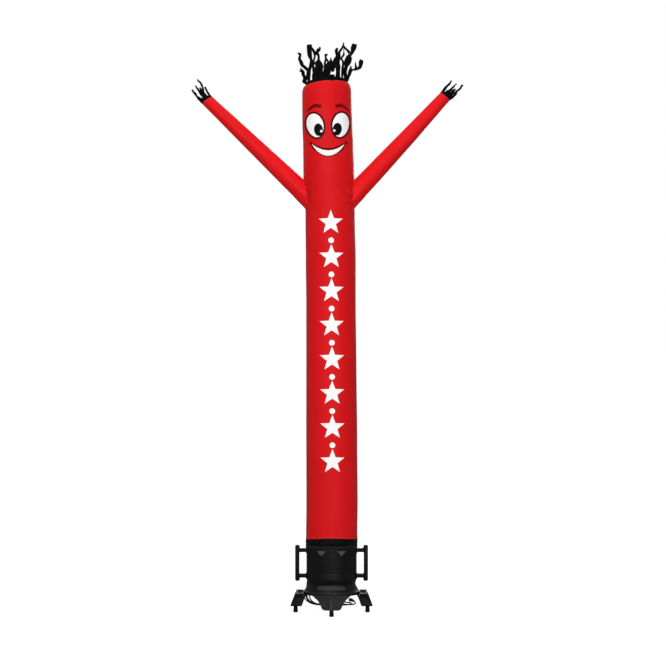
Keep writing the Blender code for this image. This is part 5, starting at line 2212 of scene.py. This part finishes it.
@dataclass
class PowerCord:
    """The power cord: its strain relief, the lead down to a loose coil behind the blower, and its plug."""

    diameter: float = 0.0085
    drum_radius: float = 0.1490
    gland_angle: float = math.radians(128)
    gland_height: float = 0.2050
    gland_length: float = 0.0280
    gland_ribs: int = 5
    straight: float = 0.0210
    coil_centre: Vector = field(default_factory=lambda: Vector((-0.0500, 0.3920, 0)))
    coil_radius: float = 0.0955
    coil_joins: float = 0.0905
    coil_start: float = 0.0865
    coil_inner: float = 0.0545
    coil_steps: int = 18
    turns: int = 2
    easings: int = 6
    spring: float = 0.0530
    spring_turn: float = math.radians(150)
    spring_power: float = 2.6
    relief_length: float = 0.036
    plug_length: float = 0.0380
    plug_height: float = 0.0196
    plug_sides: int = 32
    lead: tuple[Point, ...] = (  # down the back of the drum
        (-0.1064, 0.1707, 0.2002), (-0.1145, 0.1811, 0.1870), (-0.1180, 0.1860, 0.1680),
        (-0.1205, 0.1935, 0.1400), (-0.1240, 0.2045, 0.1120), (-0.1270, 0.2195, 0.0870),
        (-0.1275, 0.2375, 0.0660), (-0.1220, 0.2555, 0.0480), (-0.1105, 0.2735, 0.0340),
        (-0.0945, 0.2870, 0.0230), (-0.0740, 0.2955, 0.0145),
    )
    wide: tuple[Point, ...] = (  # one wide loop on the floor
        (-0.0500, 0.2962, 0.0070), (-0.0100, 0.2958, 0.0046), (0.0350, 0.2975, 0.0045),
        (0.0790, 0.3045, 0.0045), (0.1170, 0.3190, 0.0045), (0.1430, 0.3450, 0.0045),
        (0.1530, 0.3800, 0.0045), (0.1480, 0.4150, 0.0045), (0.1270, 0.4430, 0.0045),
        (0.0920, 0.4630, 0.0047), (0.0480, 0.4765, 0.0065), (0.0000, 0.4850, 0.0140),
    )
    tail: tuple[Point, ...] = (  # from the coil to the plug
        (-0.0250, 0.3345, 0.0150), (-0.0020, 0.3318, 0.0185), (0.0190, 0.3270, 0.0180),
        (0.0420, 0.3200, 0.0160), (0.0620, 0.3130, 0.0145), (0.0820, 0.3080, 0.0135),
        (0.1020, 0.3065, 0.0105), (0.1240, 0.3110, 0.0062), (0.1460, 0.3240, 0.0045),
        (0.1640, 0.3480, 0.0045), (0.1725, 0.3800, 0.0045), (0.1740, 0.4150, 0.0048),
        (0.1700, 0.4480, 0.0062), (0.1640, 0.4740, 0.0082), (0.1560, 0.4960, 0.0100),
    )

    def gland_frame(self) -> tuple[Vector, Vector]:
        """The strain relief's foot on the drum, and the level direction in which it points."""
        out = away(self.gland_angle)
        return Vector((AXIS_X, 0, self.gland_height)) + (self.drum_radius + GAP) * out, out

    def exit(self) -> Vector:
        """Where the cord leaves its strain relief."""
        foot_at, out = self.gland_frame()
        return foot_at + (self.gland_length + GAP) * out

    def looped(self, turn: float, radius: float) -> Vector:
        """The spot of the coil, whose loops spring up off the floor on one side.

        Args:
            turn: its direction from the coil's middle.
            radius: how far from there it is.

        Returns:
            The spot.
        """
        lift = self.spring * ((1 + math.cos(turn - self.spring_turn)) / 2) ** self.spring_power
        floor = self.diameter / 2 + 0.0002
        return self.coil_centre + upright(radius, turn, floor + lift, 0)

    def route(self) -> list[Vector]:
        """The cord's middle line, from its exit to its plug.

        Returns:
            Its points.
        """
        start, out = self.exit(), self.gland_frame()[1]
        points = [start, start + 0.010 * out, start + self.straight * out]
        points += map(Vector, self.lead + self.wide)
        for degrees in range(90, 255, 20):
            radius = between(self.coil_radius, self.coil_joins, (degrees - 90) / 160)
            points.append(self.looped(math.radians(degrees), radius))
        steps = self.coil_steps * self.turns
        for step in range(steps + 1):
            radius = between(self.coil_start, self.coil_inner, step / steps)
            points.append(self.looped(FRONT + step * TAU / self.coil_steps, radius))
        points = smooth_path(points + [Vector(spot) for spot in self.tail], 3)
        for _ in range(self.easings):
            inner = [b.lerp((a + c) / 2, 0.5) for a, b, c in zip(points[1:], points[2:], points[3:])]
            points = [*points[:2], *inner, points[-1]]
        return points

    def jacket(self) -> Object:
        """Builds the cord itself, a curve of one line as thick as its jacket.

        Returns:
            The cord.
        """
        path = self.route()
        curve = bpy.data.curves.new("power_cord", "CURVE")
        curve.dimensions = "3D"
        curve.bevel_depth = self.diameter / 2
        curve.bevel_resolution = 4
        curve.use_fill_caps = True
        line = curve.splines.new("POLY")
        line.points.add(len(path) - 1)
        for point, spot in zip(line.points, path):
            point.co = (*spot, 1)
        line.use_smooth = True
        curve.materials.append(JACKET.material())
        made = in_scene("power_cord", curve)
        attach(made, "root")
        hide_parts("cord_lead", "cord_coil", "cord_tail")
        return made

    def gland(self) -> Object:
        """Builds the tapered strain relief, ribbed so that it bends.

        Returns:
            The strain relief.
        """
        length = self.gland_length
        profile = [(0.0, 0.0), (0.0110, 0.0), (0.0110, 0.0030), (0.0094, 0.0038)]
        for rib in range(self.gland_ribs):
            low, big = 0.0042 + rib * 0.0044, between(0.0092, 0.0060, rib / self.gland_ribs)
            for less, up in ((0.0, 0.0), (0.0001, 0.0028), (0.0016, 0.0033), (0.0016, 0.0042)):
                profile.append((big - less, low + up))
        profile += [(0.0052, length - 0.0012), (0.0047, length), (0.0, length)]
        foot_at, out = self.gland_frame()
        turn = out.to_track_quat("Z", "Y").to_matrix().to_4x4()
        bm = moved(turned(profile, 32, closed=False, middle=0.0), Matrix.Translation(foot_at) @ turn)
        made = piece("strain_relief", bm, JACKET.material())
        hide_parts("gland")
        return made

    def plug_relief(self) -> BMesh:
        """The plug's own strain relief, which tapers along the end of the cord in ribs.

        Returns:
            The strain relief.
        """
        path, spots, travelled = self.route(), [], 0.0
        for here, back in zip(path[::-1], path[-2::-1]):
            spots += [here.lerp(back, share) for share in (0.0, 0.25, 0.5, 0.75)]
            travelled += (here - back).length
            if travelled > self.relief_length:
                break
        radii = []
        for i in range(len(spots)):
            share = i / (len(spots) - 1)
            radii.append(between(0.0082, 0.0053, share) - (0.0012 if i % 4 == 3 and share < 0.9 else 0.0))
        lifted = [Vector((spot.x, spot.y, max(spot.z, r + 0.0001))) for spot, r in zip(spots, radii)]
        return rod(lifted, radii, 20)

    def plug_body(self) -> BMesh:
        """The plug's moulded body, a rounded box that grows from the cord.

        Returns:
            The body, along X from the cord's end.
        """
        stations = (
            (0.0, 0.0058, 0.0058), (0.005, 0.0066, 0.0064), (0.010, 0.0090, 0.0078),
            (0.016, 0.0112, 0.0090), (0.022, 0.0122, 0.0095), (0.030, 0.0128, 0.0098),
            (0.0352, 0.0130, 0.0098), (self.plug_length, 0.0120, 0.0090),
        )

        def place(column: int, row: int) -> Vector:
            """The corner of the body's skin.

            Args:
                column: the corner's column.
                row: its row.

            Returns:
                Its spot.
            """
            at, half_wide, half_high = stations[row]
            turn = column * TAU / self.plug_sides
            c, s = math.cos(turn), math.sin(turn)
            square = between(1.0, 0.45, at / self.plug_length)
            y = half_wide * math.copysign(abs(c) ** square, c)
            z = half_high * math.copysign(abs(s) ** square, s)
            return Vector((at, y, between(0.0100, self.plug_height / 2 + 0.0003, eased(at / 0.02)) + z))

        return capped(gridded(self.plug_sides, len(stations) - 1, place), self.plug_sides)

    def plug(self) -> Object:
        """Builds the plug: a moulded body with grip ribs, two blades and an earth pin.

        Returns:
            The plug.
        """
        end, before = Vector(self.tail[-1]), Vector(self.tail[-2])
        along = Vector((end.x - before.x, end.y - before.y, 0)).normalized()
        whole = self.plug_body()
        for number in range(4):
            size = (0.0014, 0.0190 + number * 0.001, 0.0008)
            joined(whole, box(size, (0.0195 + number * 0.0036, 0, self.plug_height + 0.0002)))
        blade, pin = ((0.0205, 0.0018, 0.0062), 0.0035), ((0.0205, 0.0048, 0.0048), -0.0055)
        for side, (size, drop) in ((-1, blade), (0, pin), (1, blade)):
            prong = box(size)
            bevelled(prong, prong.edges, 0.0006)
            out = (self.plug_length - 0.0035 + size[0] / 2, side * 0.0064, self.plug_height / 2 + drop)
            bmesh.ops.translate(prong, vec=out, verts=prong.verts)
            for face in prong.faces:
                face.material_index = 1
            joined(whole, prong)
        turn = along.to_track_quat("X", "Z").to_matrix().to_4x4()
        moved(whole, Matrix.Translation(Vector((end.x, end.y, 0)) + 0.0006 * along) @ turn)
        joined(whole, self.plug_relief())
        made = piece("cord_end_plug", whole, JACKET.material(), BRASS.material())
        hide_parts("cord_plug")
        return made

    def build(self) -> list[Object]:
        """Returns:
            The pieces.
        """
        cord, plug = self.jacket(), self.plug()
        path = self.route()
        length = sum((b - a).length for a, b in zip(path, path[1:]))
        LOG.info("power cord: %.3f m", length)
        tuple(self.exit())
        return [self.gland(), cord, plug]


# --- the studio


@dataclass(frozen=True)
class Lamp:
    """One soft square lamp: where it hangs, its side in metres and its power in watts."""

    name: str
    place: Point
    size: float
    power: float


@dataclass
class Studio:
    """A pale floor, soft light and the camera."""

    camera_x: float = 0.0355
    camera_distance: float = 13.08
    camera_height: float = 1.653
    lens: float = 119.4
    room_light: float = 0.42
    floor_glow: float = 0.93
    floor_half: float = 900
    aim: Point = (0.02, 0, 1.7)
    lamps: tuple[Lamp, ...] = (
        Lamp("key light", (-2.4, -7.5, 3.6), 2.6, 240), Lamp("front light", (1.8, -8.0, 2.0), 2.6, 225),
        Lamp("top light", (0.0, -0.6, 6.4), 3.0, 70), Lamp("back light", (1.5, 7.5, 4.0), 3.0, 200),
    )

    def camera(self) -> None:
        """Sets up the level camera ahead of the figure."""
        data = bpy.data.cameras.new("camera")
        data.lens = self.lens
        data.clip_end = 200
        made = in_scene("camera", data)
        made.location = (self.camera_x, -self.camera_distance, self.camera_height)
        made.rotation_euler = (TAU / 4, 0, 0)
        bpy.context.scene.camera = made

    def floor(self) -> None:
        """Lays the plain pale floor, which looks white but throws back less light."""
        bm = bmesh.new()
        bmesh.ops.create_grid(bm, x_segments=2, y_segments=2, size=self.floor_half)
        made = in_scene("studio_floor", mesh_of("studio_floor", bm))
        paint = Nodes("studio floor")
        paint.even(base_color=(0.24, 0.24, 0.24, 1), roughness=0.9, specular_ior_level=0.1)
        paint.even(emission_color=(1.0, 1.0, 1.0, 1))
        glow = paint.ranged(paint.add("LightPath").outputs["Is Camera Ray"], 0.0, self.floor_glow)
        paint.dress(glow, "Emission Strength")
        made.data.materials.append(paint.material)

    def hang(self, lamp: Lamp) -> None:
        """Hangs one lamp.

        Args:
            lamp: which one.
        """
        data = bpy.data.lights.new(lamp.name, "AREA")
        data.shape = "SQUARE"
        data.size = lamp.size
        data.energy = lamp.power
        made = in_scene(lamp.name, data)
        made.location = lamp.place
        made.rotation_euler = (Vector(self.aim) - Vector(lamp.place)).to_track_quat("-Z", "Y").to_euler()

    def world(self) -> None:
        """Fills the room with even, pale light."""
        made = bpy.data.worlds.new("room")
        made.use_nodes = True
        tree = made.node_tree
        back = tree.nodes["Background"]
        back.inputs["Color"].default_value = (1.0, 1.0, 1.0, 1)
        seen = tree.nodes.new("ShaderNodeMapRange")
        seen.inputs["To Min"].default_value = self.room_light
        seen.inputs["To Max"].default_value = 1.0
        tree.links.new(tree.nodes.new("ShaderNodeLightPath").outputs["Is Camera Ray"], seen.inputs["Value"])
        tree.links.new(seen.outputs["Result"], back.inputs["Strength"])
        bpy.context.scene.world = made
        bpy.context.scene.view_settings.view_transform = "Standard"

    def build(self) -> None:
        """Lights the figure and lays the floor."""
        self.world()
        self.floor()
        for lamp in self.lamps:
            self.hang(lamp)


# --- all of it


@dataclass
class AirDancer:
    """The whole figure on its blower."""

    tube: Tube = field(default_factory=Tube)
    blower: Blower = field(default_factory=Blower)
    cord: PowerCord = field(default_factory=PowerCord)
    hair_radius: float = 0.1245
    hair_band: float = 0.021
    hand_band: float = 0.016
    hand_columns: int = 40
    hem_steps: int = 96
    seam_steps: int = 260
    seam_ends: Pair = (0.449, 3.074)
    seam_radius: float = 0.15  # the tube's, about
    seam_rise: float = 0.0008
    hem_rows: Pair = (0.0065, 0.0105)  # how far above the hem its stitches run
    hem_spots: int = 1200
    back_rows: Pair = (-0.0045, 0.0045)  # how far beside the back seam its stitches run
    back_ends: Pair = (0.47, 3.07)
    back_spots: int = 3300
    sleeve_row: float = 0.010  # how far along the sleeve its stitches run, as a share
    sleeve_spots: int = 420

    def sleeves(self) -> list[Sleeve]:
        """The two arms.

        Returns:
            The left one and the right one, not yet built.
        """
        left = Sleeve(Side.LEFT, Vector((-0.1362, 0, 2.4815)), Vector((-0.7118, 0, 3.0335)), 0.20, self.tube)
        right = Sleeve(Side.RIGHT, Vector((0.1620, 0, 2.4770)), Vector((0.6998, 0, 3.0543)), 0.06, self.tube)
        return [left, right]

    def hair(self) -> Fringe:
        """The fringe round the open top of the head.

        Returns:
            The fringe, not yet built.
        """
        tube = self.tube
        middle = AXIS_X + tube.rim_shift

        def foot(angle: float) -> Vector:
            """The foot of the band in this direction."""
            return upright(tube.rim_radius + 0.0006, angle, tube.rim_height(angle) - 0.002, middle)

        origin = Vector((middle, 0, tube.head_top))
        return Fringe(
            "hair", "hair_fringe", origin, UP, ACROSS, self.hair_radius, HAIR_LOCKS, foot, self.hair_band
        )

    def hand(self, sleeve: Sleeve, locks: tuple[Lock, ...]) -> Fringe:
        """The fringe at the end of one arm.

        Args:
            sleeve: the arm.
            locks: the fringe's strips.

        Returns:
            The fringe, not yet built.
        """
        along, across = sleeve.frame()

        def foot(angle: float) -> Vector:
            """The foot of the band in this direction."""
            out = math.cos(angle) * across + math.sin(angle) * REARWARD
            return sleeve.spot(angle, 1.0) - 0.0015 * along + 0.0004 * out

        return Fringe(
            f"hand_{sleeve.side.value}", f"hand_fringe_{sleeve.side.value}", sleeve.tip, along, across,
            sleeve.tip_radius, locks, foot, self.hand_band, columns=self.hand_columns,
        )

    def stitches(self, sleeves: Sequence[Sleeve]) -> Object:
        """Sews the machine stitches beside the seams.

        Args:
            sleeves: the two arms.

        Returns:
            The stitches.
        """
        tube, rows = self.tube, []
        for above in self.hem_rows:
            turns = [step * TAU / self.hem_spots for step in range(self.hem_spots)]
            rows.append([(tube.point(turn, tube.hem_height(turn) + above), away(turn)) for turn in turns])
        for side in self.back_rows:
            angle, last = BACK + side / self.seam_radius, self.back_spots - 1
            heights = [between(*self.back_ends, step / last) for step in range(self.back_spots)]
            rows.append([(tube.point(angle, height, self.seam_rise), away(angle)) for height in heights])
        for sleeve in sleeves:
            line, along = [], sleeve.frame()[0]
            for step in range(self.sleeve_spots):
                angle = step * TAU / self.sleeve_spots
                share = sleeve.meets_tube(angle) + self.sleeve_row
                spot = sleeve.spot(angle, share)
                out = spot - sleeve.root.lerp(sleeve.tip, share)
                line.append((spot, (out - out.dot(along) * along).normalized()))
            rows.append(line)
        return Stitching("seam_stitches", THREAD).sew(rows)

    def hems(self, sleeves: Sequence[Sleeve]) -> list[Object]:
        """Builds the rolled edges of the red cloth under the fringes' bands.

        Args:
            sleeves: the two arms.

        Returns:
            The hems.
        """
        turns = [step * TAU / self.hem_steps for step in range(self.hem_steps + 1)]
        rim = [self.tube.shoulder(turn, 0.985) + away(turn) * 0.0006 for turn in turns]
        # the hems are painted lighter than the tube: a painted highlight
        made = [piece("rim_hem", rod(rim, 0.0016), LIT_HEM_RED.material(), sharp=70)]
        for sleeve in sleeves:
            ring = rod([sleeve.spot(turn, 0.996) for turn in turns], 0.0013)
            made.append(piece(f"hand_hem_{sleeve.side.value}", ring, LIT_HEM_RED.material(), sharp=70))
        return made

    def back_seam(self) -> Object:
        """Builds the flat folded seam down the back of the tube.

        Returns:
            The seam.
        """
        heights = [between(*self.seam_ends, step / self.seam_steps) for step in range(self.seam_steps + 1)]
        rise = self.seam_rise
        section = ((-0.0065, 0.0001), (-0.0058, rise), (0.0058, rise), (0.0065, 0.0001))

        def place(column: int, row: int) -> Vector:
            """The corner of the seam's strip.

            Args:
                column: the corner's column.
                row: its row.

            Returns:
                Its spot.
            """
            side, out = section[column]
            pucker = 0.0004 * noise_at(heights[row] * 60.0, column * 0.6)
            out += pucker * (column in (1, 2))
            return self.tube.point(BACK + side / self.seam_radius, heights[row], out)

        bm = gridded(len(section) - 1, self.seam_steps, place, closed=False)
        scaled_uv(bm, 0.0043, 0.0101)
        outward(bm, Vector((AXIS_X, 0, self.tube.middle)))
        made = piece("back_seam", bm, RED.material(), sharp=40)
        baked(walled(made, 0.0006), 40)
        return made

    def build(self) -> list[Object]:
        """Builds every piece, the cord first.

        Returns:
            The pieces.
        """
        made = self.cord.build()
        left, right = sleeves = self.sleeves()
        made.append(self.tube.build(sleeves))
        for sleeve in sleeves:
            made += sleeve.build()
        fringes = self.hair(), self.hand(left, LEFT_HAND_LOCKS), self.hand(right, RIGHT_HAND_LOCKS)
        flats = ((0.785, 0.255, 0.165), (0.226, 0.140, 0.024), (0.226, 0.140, 0.024))
        for fringe, (wide, high, area) in zip(fringes, flats):
            cloth = fringe.build()
            made.append(cloth)
        made += Cuff(self.tube).build()
        made += Prints(self.tube).build()
        made += [self.back_seam(), *self.hems(sleeves), self.stitches(sleeves)]
        return made + self.blower.build()


def main() -> None:
    """Builds the studio and the air dancer, and notes how large it came out."""
    logging.basicConfig(level=logging.INFO, format="%(message)s")
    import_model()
    studio = Studio()
    studio.camera()
    for made in AirDancer().build():
        count = len(made.data.polygons) if made.type == "MESH" else 0
        LOG.info("%s: %d faces", made.name, count)
    studio.build()


if __name__ == "__main__":
    main()
